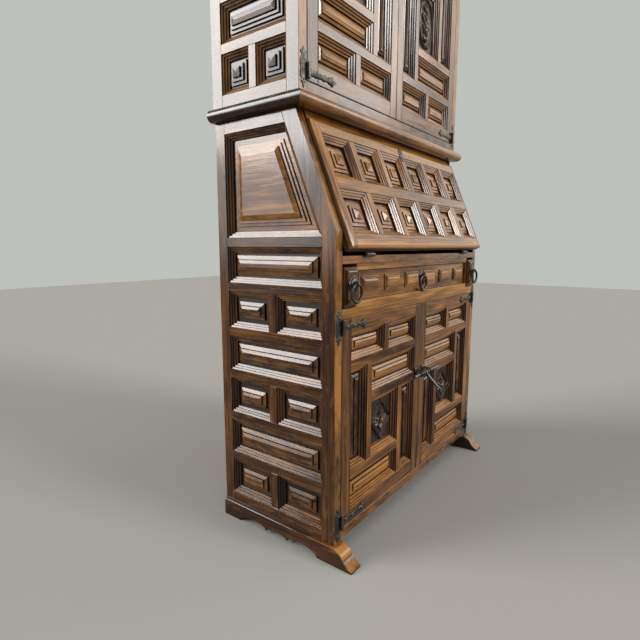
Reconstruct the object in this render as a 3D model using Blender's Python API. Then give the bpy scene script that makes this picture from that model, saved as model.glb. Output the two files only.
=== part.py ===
"""Two-part writing desk: a base with slanted fall, drawer, lopers and doors, and an upper cabinet.

Sizes are in metres. While the pieces are drawn the front of the base is the plane y = 0, its middle is
x = 0 and the floor is z = 0. The desk empty then brings the middle of the footprint to the origin.
"""

from math import cos, hypot, pi, radians, sin, tan

import bmesh
import bpy
from mathutils import Matrix, Vector
from mathutils.geometry import delaunay_2d_cdt

# Clearances
SEAT = 0.0003  # between pieces that rest on or in each other
RUN = 0.0005  # under and beside pieces that slide or turn
DOOR_GAP = 0.0015  # round a door, the fall or the drawer front
LOPER_PLAY = 0.0035  # beside and above a loper

# Carcass of the base
WIDTH = 0.900
DEPTH = 0.391
SIDE_T = 0.025
BACK_T = 0.012
FOOT_TOP = 0.048
KNEE_RISE = 0.0556  # bed to where the front edge of a side starts to lean back
SLANT_H = 0.2806  # height of the leaning front
SLANT = radians(22.6)  # lean of the fall from upright

# Heights in the base, from the bottom board up
FLOOR_Z = 0.054
FLOOR_T = 0.026
DOOR_OPENING_H = 0.532
DRAWER_RAIL_H = 0.038
DRAWER_OPENING_H = 0.075
BED_RAIL_H = 0.016
BED_T = 0.019
SHELF_T = 0.018
SHELF_RISE = 0.260  # bottom board to the shelf
FRONT_FRAME_T = 0.022

# Sled feet
FOOT_T = 0.042
FOOT_OUT = 0.008  # how far a foot stands out of the side above it
TOE_ROOT = 0.004  # how far the flat top runs on before the front
TOE_REACH = 0.056
TOE_ROLL = ((0.0105, 0.0450), (0.0170, 0.0425), (0.0235, 0.0375), (0.0290, 0.0305), (0.0315, 0.0240))
TOE_SLOPE = ((0.0355, 0.0195), (0.0425, 0.0140), (0.0490, 0.0100), (0.0535, 0.0075), (0.0555, 0.0040))
FRONT_PAD_Y = 0.050  # where the front pad ends
FRONT_CUSP_Y = 0.150
REAR_CUSP_Y = 0.226
CUSP_Z = 0.0055
REAR_PAD_Y = 0.326  # where the rear pad starts
ARCH_RISE = 0.017
NOTCH_RISE = 0.0105  # of the small arch between the cusps
ARCH_STEPS = 8

# Frames, mouldings and raised panels
LIP = 0.0125  # thickness of a frame in front of its panels
MOULDING = ((0, 0), (0.004, 0.004), (0.009, 0.004), (0.018, 0.010))  # inset and depth
PANEL_LAP = 0.008  # how far the panels reach behind the frame
PANEL_FLAT = 0.006  # flat strip round a raised field
FIELD_STEP = 0.003
FIELD_RISE = 0.0105
FIELD_BEVEL = 0.016
FIELD_LAND = 0.003  # least half width of a field's flat top
POINT_FLAT = 0.008  # flat strip round a pyramid
POINT_RISE = 0.0115
POINT_LAND = 0.004  # half width of a pyramid's tip

# Stiles and rails of the sides
SIDE_BOTTOM_RAIL = 0.032
SIDE_RAIL = 0.0236
SIDE_TOP_RAIL = 0.029
FRONT_STILE = 0.0394
SLANT_STILE = 0.041
REAR_STILE = 0.034
SIDE_BAR = 0.0235
SMALL_ROW_H = 0.099
BASE_ROWS = 3  # pairs of a small and a wide row

# Doors
DOOR_T = 0.022
HINGE_STILE = 0.040
MEETING_STILE = 0.036
DOOR_RAIL = 0.032  # beside the small panels of a lower door
DOOR_FOOT_RAIL = 0.038
DOOR_SMALL_H = 0.072
DOOR_BAR = 0.0225
TALL_W = 0.077
BAND_H = 0.079
UPPER_DOOR_RAIL = 0.041
UPPER_SMALL_H = 0.077

# Fall and its hinges
FALL_T = 0.026
FALL_FOOT = 0.007  # hinge axis to the lower end of the fall
FALL_STILE = 0.023
FALL_BAR = 0.0225
FALL_TOP_RAIL = 0.0365
FALL_MID_RAIL = 0.030
FALL_BOTTOM_RAIL = 0.0345
SLANT_RAIL_H = 0.0314  # fixed rail above the fall, with the gap below it
SLANT_RAIL_T = 0.022
FALL_COLUMNS = 6
HINGE_OUT = 0.0065  # hinge axis in front of the bed
HINGE_RISE = 0.0025  # hinge axis above the bed
BUTT_L = 0.040
BUTT_LEAF_T = 0.0015
BUTT_LEAF_H = 0.028
BUTT_INSET = 0.106  # end of the fall to the middle of a butt hinge

# Drawer, lopers and the pigeonhole rack
GUIDE_T = 0.010
LEDGE_T = 0.012
LOPER_W = 0.055
LOPER_DROP = 0.010  # underside of a loper below the drawer
LOPER_PROUD = 0.010
LOPER_TAIL = 0.039  # end of a loper to the back
LOPER_MOULDING = ((0.010, 0), (0.006, 0.003), (0.003, 0.003), (0, 0.007))
DUST_T = 0.012
DRAWER_RECESS = 0.007
DRAWER_FRONT_T = 0.018
DRAWER_TAIL = 0.034  # end of the drawer to the back
DRAWER_BOX_DROP = 0.010  # top of the box below the top of the front
DRAWER_WALL = 0.010
DRAWER_BOTTOM_T = 0.006
DRAWER_BLOCKS = 6
BLOCK_SPACE = 0.033
BLOCK_MARGIN = 0.0155  # above and below a block in the drawer opening
BLOCK_MOULDING = ((0, 0), (0, 0.003), (0.003, 0.003), (0.0125, 0.0075))
RACK_DEPTH = 0.164
RACK_H = 0.235
RACK_T = 0.010
RACK_COLUMNS = 3
RACK_ROWS = 2

# Waist board, upper cabinet and cornice
WAIST_T = 0.0332
OVERHANG = 0.022
NOSE_STEPS = 6
UPPER_PROUD = 0.005  # how far an upper side stands out over the side below
UPPER_FORWARD = 0.0145  # how far the upper front stands before the top of the slant
UPPER_FLOOR_T = 0.0256
UPPER_DOOR_OPENING_H = 0.585
UPPER_CEILING_T = 0.025
UPPER_SHELF_H = 0.290  # upper floor to the shelf
UPPER_STILE = 0.036
UPPER_RAIL = 0.031
UPPER_SMALL_ROW_H = 0.097
UPPER_ROWS = 5  # small pairs and wide openings by turns
CORNICE_T = 0.033

# Strap hinges of the doors
STRAP_T = 0.003
STRAP_L = 0.113
STRAP_BAR_L = 0.080
STRAP_ROOT_H = 0.0085  # half height at the barrel
STRAP_NECK_H = 0.005  # half height before the spear
SPEAR_H = 0.011  # half height of the spear
BARREL_R = 0.0045
BARREL_H = 0.035
STRAP_INSET = 0.0175  # door edge to the middle of a strap
UPPER_STRAP_INSET = 0.0195

# Ring pulls
PULL_RISE = 0.045  # bottom of the drawer opening to the rings' pivots
LOPER_PLATE_R = 0.0225
PULL_PLATE_T = 0.005
RING_R = 0.0215
RING_WIRE_R = 0.0035
EYE_WALL = 0.0026
EYE_HALF_W = 0.0025
EYE_SINK = 0.0007  # how far the eye is let into its plate
PLATE_SIDES = 20
RING_SIDES = 24
WIRE_SIDES = 8

# Bolt with its lever
BOLT_RISE = 0.319  # bottom board to the bolt
BOLT_OUT = 0.020
BOLT_R = 0.005
BOLT_REACH = 0.100
KEEPER_REACH = 0.072
BOLT_START = 0.002  # each half of the bolt stops this short of the middle
STAPLE_WALL = 0.0035
STAPLE_W = 0.004
STAPLE_NEAR = 0.0145
STAPLE_FAR = 0.0285
LATCH_PLATE_T = 0.003
LATCH_PLATE_NEAR = 0.0115
LATCH_PLATE_FAR = 0.0345
LATCH_PLATE_H = 0.034
LEVER_X = 0.0065
LEVER_L = 0.1025
LEVER_DROP = radians(50)
LEVER_LEAN = 0.020  # how far the tip stands to the right of the root
LEVER_CURL = 0.046  # how far the hook lifts the tip above the straight line
LEVER_HOOK = 6  # power of the hook's curve
LEVER_ROOT_R = 0.0042
LEVER_TIP_R = 0.003
LEVER_STEPS = 12

# Fineness of the drawn shapes
BARREL_SIDES = 12
SHARP_ANGLE = radians(35)
SAME_POINT = 1e-7

# Places that follow from the sizes above
INNER = WIDTH / 2 - SIDE_T
SLANT_TOP_Y = SLANT_H * tan(SLANT)
BACK_Y = DEPTH - BACK_T
FLOOR_TOP = FLOOR_Z + FLOOR_T
DRAWER_RAIL_Z = FLOOR_TOP + DOOR_OPENING_H
DRAWER_Z = DRAWER_RAIL_Z + DRAWER_RAIL_H
BED_RAIL_Z = DRAWER_Z + DRAWER_OPENING_H
BED_Z = BED_RAIL_Z + BED_RAIL_H
BED_TOP = BED_Z + BED_T
KNEE_Z = BED_TOP + KNEE_RISE
WAIST_Z = KNEE_Z + SLANT_H  # top of the sides of the base
SHELF_Z = FLOOR_TOP + SHELF_RISE
RACK_FRONT_Y = BACK_Y - RACK_DEPTH
LOPER_OUTER = INNER - LOPER_PLAY
LOPER_INNER = LOPER_OUTER - LOPER_W
GUIDE_OUTER = LOPER_INNER - LOPER_PLAY
GUIDE_INNER = GUIDE_OUTER - GUIDE_T
LOPER_Z = DRAWER_Z - LOPER_DROP
LOPER_TOP = BED_TOP - FALL_T - RUN
LOPER_BACK_Y = BACK_Y - LOPER_TAIL
LEDGE_TOP = LOPER_Z - RUN
DRAWER_HALF = GUIDE_INNER - 2 * RUN
DRAWER_BACK_Y = BACK_Y - DRAWER_TAIL
BLOCK_PITCH = 2 * DRAWER_HALF / DRAWER_BLOCKS
BLOCK_W = BLOCK_PITCH - BLOCK_SPACE
BLOCK_H = DRAWER_OPENING_H - 2 * BLOCK_MARGIN
DRAWER_PLATE_R = BLOCK_SPACE / 2 - 2 * RUN  # fits between two blocks
PULL_Z = DRAWER_Z + PULL_RISE
FALL_AXIS = Vector((0, -HINGE_OUT, BED_TOP + HINGE_RISE))
BUTT_R = hypot(HINGE_OUT, HINGE_RISE) - RUN  # the barrel just clears the front edge of the bed
FALL_END = (WAIST_Z - FALL_AXIS.z) / cos(SLANT) - SLANT_RAIL_H
ALONG_FALL = Vector((0, sin(SLANT), cos(SLANT)))
OUT_OF_FALL = Vector((0, -cos(SLANT), sin(SLANT)))
DOOR_EDGE = INNER - DOOR_GAP
BUTT_X = DOOR_EDGE - BUTT_INSET
DOOR_W = DOOR_EDGE - DOOR_GAP / 2
DOOR_H = DOOR_OPENING_H - 2 * DOOR_GAP
HINGE_X = INNER - DOOR_GAP / 2
HINGE_Y = -(BARREL_R + RUN)
UPPER_Z = WAIST_Z + WAIST_T
UPPER_WIDTH = WIDTH + 2 * UPPER_PROUD
UPPER_SIDE_T = SIDE_T + UPPER_PROUD
UPPER_INNER = UPPER_WIDTH / 2 - UPPER_SIDE_T
UPPER_FRONT_Y = SLANT_TOP_Y - UPPER_FORWARD
UPPER_FLOOR_TOP = UPPER_Z + UPPER_FLOOR_T
UPPER_CEILING_Z = UPPER_FLOOR_TOP + UPPER_DOOR_OPENING_H
UPPER_TOP = UPPER_CEILING_Z + UPPER_CEILING_T
UPPER_EDGE = UPPER_INNER - DOOR_GAP
UPPER_DOOR_W = UPPER_EDGE - DOOR_GAP / 2
UPPER_DOOR_H = UPPER_DOOR_OPENING_H - 2 * DOOR_GAP
UPPER_HINGE_X = UPPER_INNER - DOOR_GAP / 2
EYE_R = RING_WIRE_R + 2 * SEAT + EYE_WALL
PULL_OUT = PULL_PLATE_T + EYE_R - EYE_SINK  # back of a pull plate to the middle of its eye
BOLT_Y = -BOLT_OUT
BOLT_Z = FLOOR_TOP + BOLT_RISE
FRONT_REACH = BOLT_OUT + LEVER_L * cos(LEVER_DROP) + LEVER_TIP_R
ORIGIN_Y = (DEPTH - max(FRONT_REACH, TOE_REACH)) / 2

X, Y, Z = Vector((1, 0, 0)), Vector((0, 1, 0)), Vector((0, 0, 1))


def clear_scene():
    for obj in list(bpy.data.objects):
        bpy.data.objects.remove(obj, do_unlink=True)


def finish_of(name, colour, roughness, metallic=0.0):
    material = bpy.data.materials.new(name)
    material.use_nodes = True
    shader = material.node_tree.nodes["Principled BSDF"]
    shader.inputs["Base Color"].default_value = (*colour, 1)
    shader.inputs["Roughness"].default_value = roughness
    shader.inputs["Metallic"].default_value = metallic
    return material


def carrier(name, place, parent=None):
    """An empty that carries pieces; place is where it stands while the pieces are drawn."""
    empty = bpy.data.objects.new(name, None)
    empty["place"] = place
    empty.parent = parent
    empty.location = place - (Vector(parent["place"]) if parent else Vector())
    bpy.context.scene.collection.objects.link(empty)
    return empty


def add(name, mesh, finish, on):
    """Make an object of a bmesh drawn in desk coordinates, with its origin at the carrier."""
    bmesh.ops.translate(mesh, verts=mesh.verts, vec=-Vector(on["place"]))
    bmesh.ops.recalc_face_normals(mesh, faces=mesh.faces)
    data = bpy.data.meshes.new(name)
    mesh.to_mesh(data)
    mesh.free()
    data.materials.append(finish)
    obj = bpy.data.objects.new(name, data)
    obj.parent = on
    bpy.context.scene.collection.objects.link(obj)
    return obj


def fuse(obj, meshes):
    """Join further closed shapes to an object with Boolean unions."""
    for number, mesh in enumerate(meshes):
        helper = add(f"{obj.name}_join_{number}", mesh, obj.data.materials[0], obj.parent)
        helper.hide_render = True
        helper.display_type = "WIRE"
        union = obj.modifiers.new(f"join_{number}", "BOOLEAN")
        union.operation = "UNION"
        union.solver = "EXACT"
        union.object = helper


def smooth(obj):
    obj.data.shade_smooth()
    obj.data.set_sharp_from_angle(angle=SHARP_ANGLE)


def basis(u, v, w, origin):
    """Matrix that takes plate coordinates u, v and w to desk coordinates."""
    matrix = Matrix((u, v, w)).transposed().to_4x4()
    matrix.translation = origin
    return matrix


def rect(u0, v0, u1, v1):
    return [Vector(p) for p in ((u0, v0), (u1, v0), (u1, v1), (u0, v1))]


def circle(centre, radius, sides):
    turns = (2 * pi * i / sides for i in range(sides))
    return [Vector((centre[0] + radius * cos(a), centre[1] + radius * sin(a))) for a in turns]


def inset(polygon, by):
    """A counter-clockwise polygon with its edges moved in, by one distance or by one for each edge."""
    count = len(polygon)
    distances = by if isinstance(by, (list, tuple)) else [by] * count
    lines = []
    for start, end, distance in zip(polygon, polygon[1:] + polygon[:1], distances):
        along = (end - start).normalized()
        lines.append((start + Vector((-along.y, along.x)) * distance, along))
    corners = []
    for (p, d), (q, e) in zip(lines[-1:] + lines[:-1], lines):
        step = ((q - p).x * e.y - (q - p).y * e.x) / (d.x * e.y - d.y * e.x)
        corners.append(p + d * step)
    return corners


def least_width(polygon):
    across = [p.x for p in polygon]
    up = [p.y for p in polygon]
    return min(max(across) - min(across), max(up) - min(up))


def loop_of(mesh, polygon, height):
    return [mesh.verts.new((p.x, p.y, height)) for p in polygon]


def wall(mesh, first, second):
    for i in range(len(first)):
        j = (i + 1) % len(first)
        mesh.faces.new((first[i], first[j], second[j], second[i]))


def inside(point, loop):
    """Whether a point lies in a loop of vertices, seen along the third axis."""
    crossings = 0
    for first, second in zip(loop, loop[1:] + loop[:1]):
        a, b = first.co, second.co
        if (a.y > point.y) != (b.y > point.y):
            crossings += a.x + (b.x - a.x) * (point.y - a.y) / (b.y - a.y) > point.x
    return crossings % 2 == 1


def fill(mesh, outer, holes):
    """Triangles of the flat face between a loop of vertices and the loops of its holes."""
    points, edges = [], []
    for loop in (outer, *holes):
        first = len(points)
        points.extend(loop)
        edges.extend((first + i, first + (i + 1) % len(loop)) for i in range(len(loop)))
    flat = [Vector(p.co.xy) for p in points]
    _, _, triangles, origins, _, _ = delaunay_2d_cdt(flat, edges, [], 1, SAME_POINT)
    for triangle in triangles:
        corners = [points[origins[i][0]] for i in triangle]
        middle = sum((p.co for p in corners), Vector()) / 3
        if not any(inside(middle, hole) for hole in holes):
            mesh.faces.new(corners)


def plate(rim, features=(), pocket=None):
    """A flat piece in plate coordinates.

    rim: (polygon, height) rings from the front outline round to the back outline.
    features: (rings, through) of each raised, sunk or cut place on the front.
    pocket: (polygon, back height, floor height) of a recess in the back that takes the cut places.
    """
    mesh = bmesh.new()
    edge = [loop_of(mesh, *ring) for ring in rim]
    for first, second in zip(edge, edge[1:]):
        wall(mesh, first, second)
    mouths, ends = [], []
    for rings, through in features:
        loops = [loop_of(mesh, *ring) for ring in rings]
        for first, second in zip(loops, loops[1:]):
            wall(mesh, first, second)
        mouths.append(loops[0])
        if through:
            ends.append(loops[-1])
        else:
            fill(mesh, loops[-1], ())
    fill(mesh, edge[0], mouths)
    if pocket:
        polygon, back, floor = pocket
        mouth = loop_of(mesh, polygon, back)
        bottom = loop_of(mesh, polygon, floor)
        wall(mesh, mouth, bottom)
        fill(mesh, edge[-1], (mouth,))
        fill(mesh, bottom, ends)
    else:
        fill(mesh, edge[-1], ends)
    return mesh


def slab(polygon, matrix, front, back, holes=()):
    """A plate of one thickness with straight holes, placed by a matrix."""
    cuts = [([(hole, front), (hole, back)], True) for hole in holes]
    mesh = plate([(polygon, front), (polygon, back)], cuts)
    mesh.transform(matrix)
    return mesh


def box(low, high):
    mesh = bmesh.new()
    bmesh.ops.create_cube(mesh, size=1)
    low, high = Vector(low), Vector(high)
    for vert in mesh.verts:
        vert.co = [(low + high)[i] / 2 + vert.co[i] * (high - low)[i] for i in range(3)]
    return mesh


def tube(path, radii, sides):
    """A closed rod of round section along points that run mostly one way."""
    mesh = bmesh.new()
    loops = []
    for i, (point, radius) in enumerate(zip(path, radii)):
        along = (path[min(i + 1, len(path) - 1)] - path[max(i - 1, 0)]).normalized()
        across = along.orthogonal() if i == 0 else across - along * across.dot(along)
        across.normalize()
        up = along.cross(across)
        turns = [2 * pi * k / sides for k in range(sides)]
        loops.append([mesh.verts.new(point + (across * cos(a) + up * sin(a)) * radius) for a in turns])
    for first, second in zip(loops, loops[1:]):
        wall(mesh, first, second)
    mesh.faces.new(loops[0])
    mesh.faces.new(loops[-1])
    return mesh


def moulded_cut(opening):
    rings = [(inset(opening, inwards), -depth) for inwards, depth in MOULDING]
    return rings + [(inset(opening, MOULDING[-1][0]), -LIP)], True


def raised_field(opening, pointed):
    """Rings of the field that stands up from a panel in an opening."""
    base = inset(opening, MOULDING[-1][0] + (POINT_FLAT if pointed else PANEL_FLAT))
    half = least_width(base) / 2
    ground = -LIP - SEAT
    if pointed:
        bevel, rise = half - POINT_LAND, POINT_RISE
    else:
        bevel, rise = min(FIELD_BEVEL, half - FIELD_LAND), FIELD_RISE
    step = min(FIELD_STEP, bevel / 2)
    steps = ((0, 0), (0, step), (step, step), (bevel, rise))
    return [(inset(base, inwards), ground + up) for inwards, up in steps], False


def framed_leaf(name, outline, field, openings, thickness, matrix, on, pointed=0):
    """A frame with moulded openings, and the board of raised panels that is let into its back.

    The first few openings, as many as pointed says, hold stepped pyramids.
    """
    pocket = inset(field, -PANEL_LAP)
    frame = plate(
        [(outline, 0), (outline, -thickness)],
        [moulded_cut(opening) for opening in openings],
        (pocket, -thickness, -LIP),
    )
    frame.transform(matrix)
    add(f"{name}_frame", frame, STAINED, on)
    board = inset(pocket, SEAT)
    panels = plate(
        [(board, -LIP - SEAT), (board, -thickness)],
        [raised_field(opening, number < pointed) for number, opening in enumerate(openings)],
    )
    panels.transform(matrix)
    add(f"{name}_panels", panels, STAINED, on)


def foot_outline():
    """Side view of a sled foot, in y and z: pads, three arches and an ogee toe."""
    points = [Vector((-TOE_REACH, 0)), Vector((FRONT_PAD_Y, 0))]
    arches = (
        (FRONT_PAD_Y, 0, FRONT_CUSP_Y, CUSP_Z, ARCH_RISE),
        (FRONT_CUSP_Y, CUSP_Z, REAR_CUSP_Y, CUSP_Z, NOTCH_RISE),
        (REAR_CUSP_Y, CUSP_Z, REAR_PAD_Y, 0, ARCH_RISE),
    )
    for y0, z0, y1, z1, rise in arches:
        for i in range(1, ARCH_STEPS + 1):
            turn = pi * i / ARCH_STEPS
            share = (1 - cos(turn)) / 2
            height = z0 + (z1 - z0) * share + rise * sin(turn)
            points.append(Vector((y0 + (y1 - y0) * share, height)))
    top = FOOT_TOP - SEAT
    points += [Vector((DEPTH, 0)), Vector((DEPTH, top)), Vector((-TOE_ROOT, top))]
    points += [Vector((-reach, height)) for reach, height in TOE_ROLL + TOE_SLOPE]
    return points


def base_rows(field):
    """Openings of a side of the base, in y and z, from the bottom up; field is the shape they fill."""
    (front, z), (rear, _), (_, top), (_, _), (_, knee) = field
    middle = (front + rear) / 2
    wide_h = (knee - z) / BASE_ROWS - SMALL_ROW_H - 2 * SIDE_RAIL
    openings = []
    for _ in range(BASE_ROWS):
        openings.append(rect(front, z, middle - SIDE_BAR / 2, z + SMALL_ROW_H))
        openings.append(rect(middle + SIDE_BAR / 2, z, rear, z + SMALL_ROW_H))
        z += SMALL_ROW_H + SIDE_RAIL
        openings.append(rect(front, z, rear, z + wide_h))
        z += wide_h + SIDE_RAIL
    leaning = [Vector(p) for p in ((front, knee), (rear, knee), (rear, top))]
    return openings + [leaning + [field[3]]]


def upper_rows():
    """Openings of a side of the upper cabinet: small pairs and wide ones by turns."""
    front, rear = UPPER_FRONT_Y + UPPER_STILE, DEPTH - UPPER_STILE
    middle = (front + rear) / 2
    wide_rows = UPPER_ROWS // 2
    rails = 2 * UPPER_RAIL + (UPPER_ROWS - 1) * SIDE_RAIL
    wide_h = (UPPER_TOP - UPPER_Z - rails - (UPPER_ROWS - wide_rows) * UPPER_SMALL_ROW_H) / wide_rows
    small, wide = [], []
    z = UPPER_Z + UPPER_RAIL
    for row in range(UPPER_ROWS):
        if row % 2:
            wide.append(rect(front, z, rear, z + wide_h))
            z += wide_h + SIDE_RAIL
        else:
            small.append(rect(front, z, middle - SIDE_BAR / 2, z + UPPER_SMALL_ROW_H))
            small.append(rect(middle + SIDE_BAR / 2, z, rear, z + UPPER_SMALL_ROW_H))
            z += UPPER_SMALL_ROW_H + SIDE_RAIL
    return small, wide


def pair(u0, u1, v0, v1):
    middle = (u0 + u1) / 2
    return [rect(u0, v0, middle - DOOR_BAR / 2, v1), rect(middle + DOOR_BAR / 2, v0, u1, v1)]


def pinwheel(u0, u1, v0, v1):
    """Four openings that chase each other round a middle one; u0 is the hinge side."""
    left, right = u0 + TALL_W, u1 - TALL_W
    low, high = v0 + BAND_H, v1 - BAND_H
    return [
        rect(u0, low + DOOR_BAR, left, v1),
        rect(left + DOOR_BAR, high, u1, v1),
        rect(right, v0, u1, high - DOOR_BAR),
        rect(u0, v0, right - DOOR_BAR, low),
        rect(left + DOOR_BAR, low + DOOR_BAR, right - DOOR_BAR, high - DOOR_BAR),
    ]


def door_openings():
    u0, u1 = HINGE_STILE, DOOR_W - MEETING_STILE
    top = DOOR_H - DOOR_RAIL
    wheel_top = top - DOOR_SMALL_H - DOOR_BAR
    return pair(u0, u1, top - DOOR_SMALL_H, top) + pinwheel(u0, u1, DOOR_FOOT_RAIL, wheel_top)


def upper_door_openings():
    u0, u1 = HINGE_STILE, UPPER_DOOR_W - MEETING_STILE
    low = UPPER_DOOR_RAIL
    wheel = low + UPPER_SMALL_H + DOOR_BAR
    return pair(u0, u1, low, low + UPPER_SMALL_H) + pinwheel(u0, u1, wheel, UPPER_DOOR_H - UPPER_DOOR_RAIL)


def feet():
    for name, side in SIDES:
        outer = side * (WIDTH / 2 + FOOT_OUT)
        mesh = slab(foot_outline(), basis(Y, Z, X * side, X * outer), 0, -FOOT_T)
        add(f"foot_{name}", mesh, STAINED, desk)


def base_sides():
    outline = [
        Vector(p)
        for p in (
            (0, FOOT_TOP),
            (DEPTH, FOOT_TOP),
            (DEPTH, WAIST_Z),
            (SLANT_TOP_Y, WAIST_Z),
            (0, KNEE_Z),
        )
    ]
    borders = [SIDE_BOTTOM_RAIL, REAR_STILE, SIDE_TOP_RAIL, SLANT_STILE, FRONT_STILE]
    field = inset(outline, borders)
    for name, side in SIDES:
        matrix = basis(Y, Z, X * side, X * side * WIDTH / 2)
        framed_leaf(f"side_{name}", outline, field, base_rows(field), SIDE_T, matrix, desk)


def base_boards():
    reach = INNER - SEAT
    rear = BACK_Y - SEAT
    boards = {
        "bottom_board": ((-reach, 0, FLOOR_Z), (reach, rear, FLOOR_TOP)),
        "cupboard_shelf": ((-reach, DOOR_T + RUN, SHELF_Z), (reach, rear, SHELF_Z + SHELF_T)),
        "desk_bed": ((-reach, 0, BED_Z), (reach, rear, BED_TOP)),
        "base_back": ((-reach, BACK_Y, FLOOR_Z), (reach, DEPTH, WAIST_Z)),
    }
    for name, (low, high) in boards.items():
        add(name, box(low, high), STAINED if name == "bottom_board" else INSIDE, desk)
    dust = GUIDE_INNER - SEAT
    dust_low = (-dust, FRONT_FRAME_T + SEAT, DRAWER_Z - DUST_T)
    add("dust_board", box(dust_low, (dust, rear, DRAWER_Z)), INSIDE, desk)


def front_frame():
    """Face frame round the drawer, cut back at its ends for the lopers."""
    reach, step = INNER - SEAT, GUIDE_OUTER
    low, notch, top = DRAWER_RAIL_Z, LOPER_Z - LOPER_PLAY, BED_Z - SEAT
    corners = ((-reach, low), (reach, low), (reach, notch), (step, notch))
    corners += ((step, top), (-step, top), (-step, notch), (-reach, notch))
    opening = rect(-GUIDE_INNER, DRAWER_Z, GUIDE_INNER, BED_RAIL_Z)
    outline = [Vector(p) for p in corners]
    mesh = slab(outline, basis(X, Z, -Y, Vector()), 0, -FRONT_FRAME_T, [opening])
    add("front_frame", mesh, STAINED, desk)


def loper_guides():
    for name, side in SIDES:
        reach, low, top = INNER - SEAT, LEDGE_TOP - LEDGE_T, BED_Z - SEAT
        corners = ((GUIDE_INNER, low), (reach, low), (reach, LEDGE_TOP))
        corners += ((GUIDE_OUTER, LEDGE_TOP), (GUIDE_OUTER, top), (GUIDE_INNER, top))
        matrix = basis(X * side, Z, -Y, Vector())
        outline = [Vector(p) for p in corners]
        mesh = slab(outline, matrix, -FRONT_FRAME_T - SEAT, -BACK_Y + SEAT)
        add(f"loper_guide_{name}", mesh, INSIDE, desk)


def pigeonholes():
    """Open rack that stands on the bed against the back."""
    half, low = INNER - SEAT, BED_TOP + SEAT
    high = low + RACK_H
    cell_w = (2 * half - (RACK_COLUMNS + 1) * RACK_T) / RACK_COLUMNS
    cell_h = (RACK_H - (RACK_ROWS + 1) * RACK_T) / RACK_ROWS
    cells = []
    for column in range(RACK_COLUMNS):
        for row in range(RACK_ROWS):
            u = -half + RACK_T + column * (cell_w + RACK_T)
            v = low + RACK_T + row * (cell_h + RACK_T)
            cells.append(rect(u, v, u + cell_w, v + cell_h))
    outline = rect(-half, low, half, high)
    mesh = slab(outline, basis(X, Z, -Y, Vector()), -RACK_FRONT_Y, -BACK_Y + SEAT, cells)
    add("pigeonhole_rack", mesh, INSIDE, desk)


def slant_rail():
    """Fixed rail above the fall, flush with the leaning front edges of the sides."""
    front = OUT_OF_FALL.dot(Vector((0, 0, KNEE_Z)) - FALL_AXIS)
    start = FALL_END + DOOR_GAP
    top = WAIST_Z - SEAT
    back = front - SLANT_RAIL_T
    corners = [FALL_AXIS + ALONG_FALL * start + OUT_OF_FALL * depth for depth in (back, front)]
    for depth in (front, back):
        foot = FALL_AXIS + OUT_OF_FALL * depth
        corners.append(foot + ALONG_FALL * ((top - foot.z) / ALONG_FALL.z))
    outline = [Vector((p.y, p.z)) for p in corners]
    half = INNER - SEAT
    add("slant_top_rail", slab(outline, basis(Y, Z, X, Vector()), half, -half), STAINED, desk)


def nosed_board(name, low, high):
    """Board with a half-round edge at the front and the ends, square at the back."""
    half = UPPER_WIDTH / 2 + OVERHANG
    outline = rect(-half, UPPER_FRONT_Y - OVERHANG, half, DEPTH)
    radius = (high - low) / 2
    rim = []
    for i in range(NOSE_STEPS + 1):
        turn = pi * i / NOSE_STEPS
        back = radius * (1 - sin(turn))
        rim.append((inset(outline, [back, back, 0, back]), low + radius * (1 + cos(turn))))
    add(name, plate(rim), STAINED, desk)


def upper_cabinet():
    outline = rect(UPPER_FRONT_Y, UPPER_Z, DEPTH, UPPER_TOP)
    field = inset(outline, [UPPER_RAIL, UPPER_STILE, UPPER_RAIL, UPPER_STILE])
    small, wide = upper_rows()
    for name, side in SIDES:
        matrix = basis(Y, Z, X * side, X * side * UPPER_WIDTH / 2)
        leaf = f"upper_side_{name}"
        framed_leaf(leaf, outline, field, small + wide, UPPER_SIDE_T, matrix, desk, len(small))
    reach, rear = UPPER_INNER - SEAT, BACK_Y - SEAT
    shelf = UPPER_FLOOR_TOP + UPPER_SHELF_H
    boards = {
        "upper_floor": ((-reach, UPPER_FRONT_Y, UPPER_Z), (reach, rear, UPPER_FLOOR_TOP)),
        "upper_shelf": ((-reach, UPPER_FRONT_Y + DOOR_T + RUN, shelf), (reach, rear, shelf + SHELF_T)),
        "upper_ceiling": ((-reach, UPPER_FRONT_Y, UPPER_CEILING_Z), (reach, rear, UPPER_TOP)),
        "upper_back": ((-reach, BACK_Y, UPPER_Z), (reach, DEPTH, UPPER_TOP)),
    }
    for name, (low, high) in boards.items():
        inside = name in ("upper_shelf", "upper_back")
        add(name, box(low, high), INSIDE if inside else STAINED, desk)


def strap_hinge(name, side, height, face_y, on):
    """Barrel on the door's axis and a forged strap with a spear end on the face of the door."""
    axis = Vector(on["place"])
    low = Vector((axis.x, axis.y, height - BARREL_H / 2))
    obj = add(name, tube([low, low + Z * BARREL_H], [BARREL_R] * 2, BARREL_SIDES), IRON, on)
    neck = (STRAP_L - STRAP_BAR_L) / 4
    half = ((0, STRAP_ROOT_H), (STRAP_BAR_L, STRAP_NECK_H), (STRAP_BAR_L + neck, SPEAR_H))
    half += ((STRAP_BAR_L + 2 * neck, STRAP_NECK_H),)
    corners = [Vector((u, -v)) for u, v in half] + [Vector((STRAP_L, 0))]
    corners += [Vector((u, v)) for u, v in reversed(half)]
    matrix = basis(X * -side, Z, -Y, Vector((axis.x, face_y, height)))
    fuse(obj, [slab(corners, matrix, SEAT + STRAP_T, SEAT)])
    smooth(obj)


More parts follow.
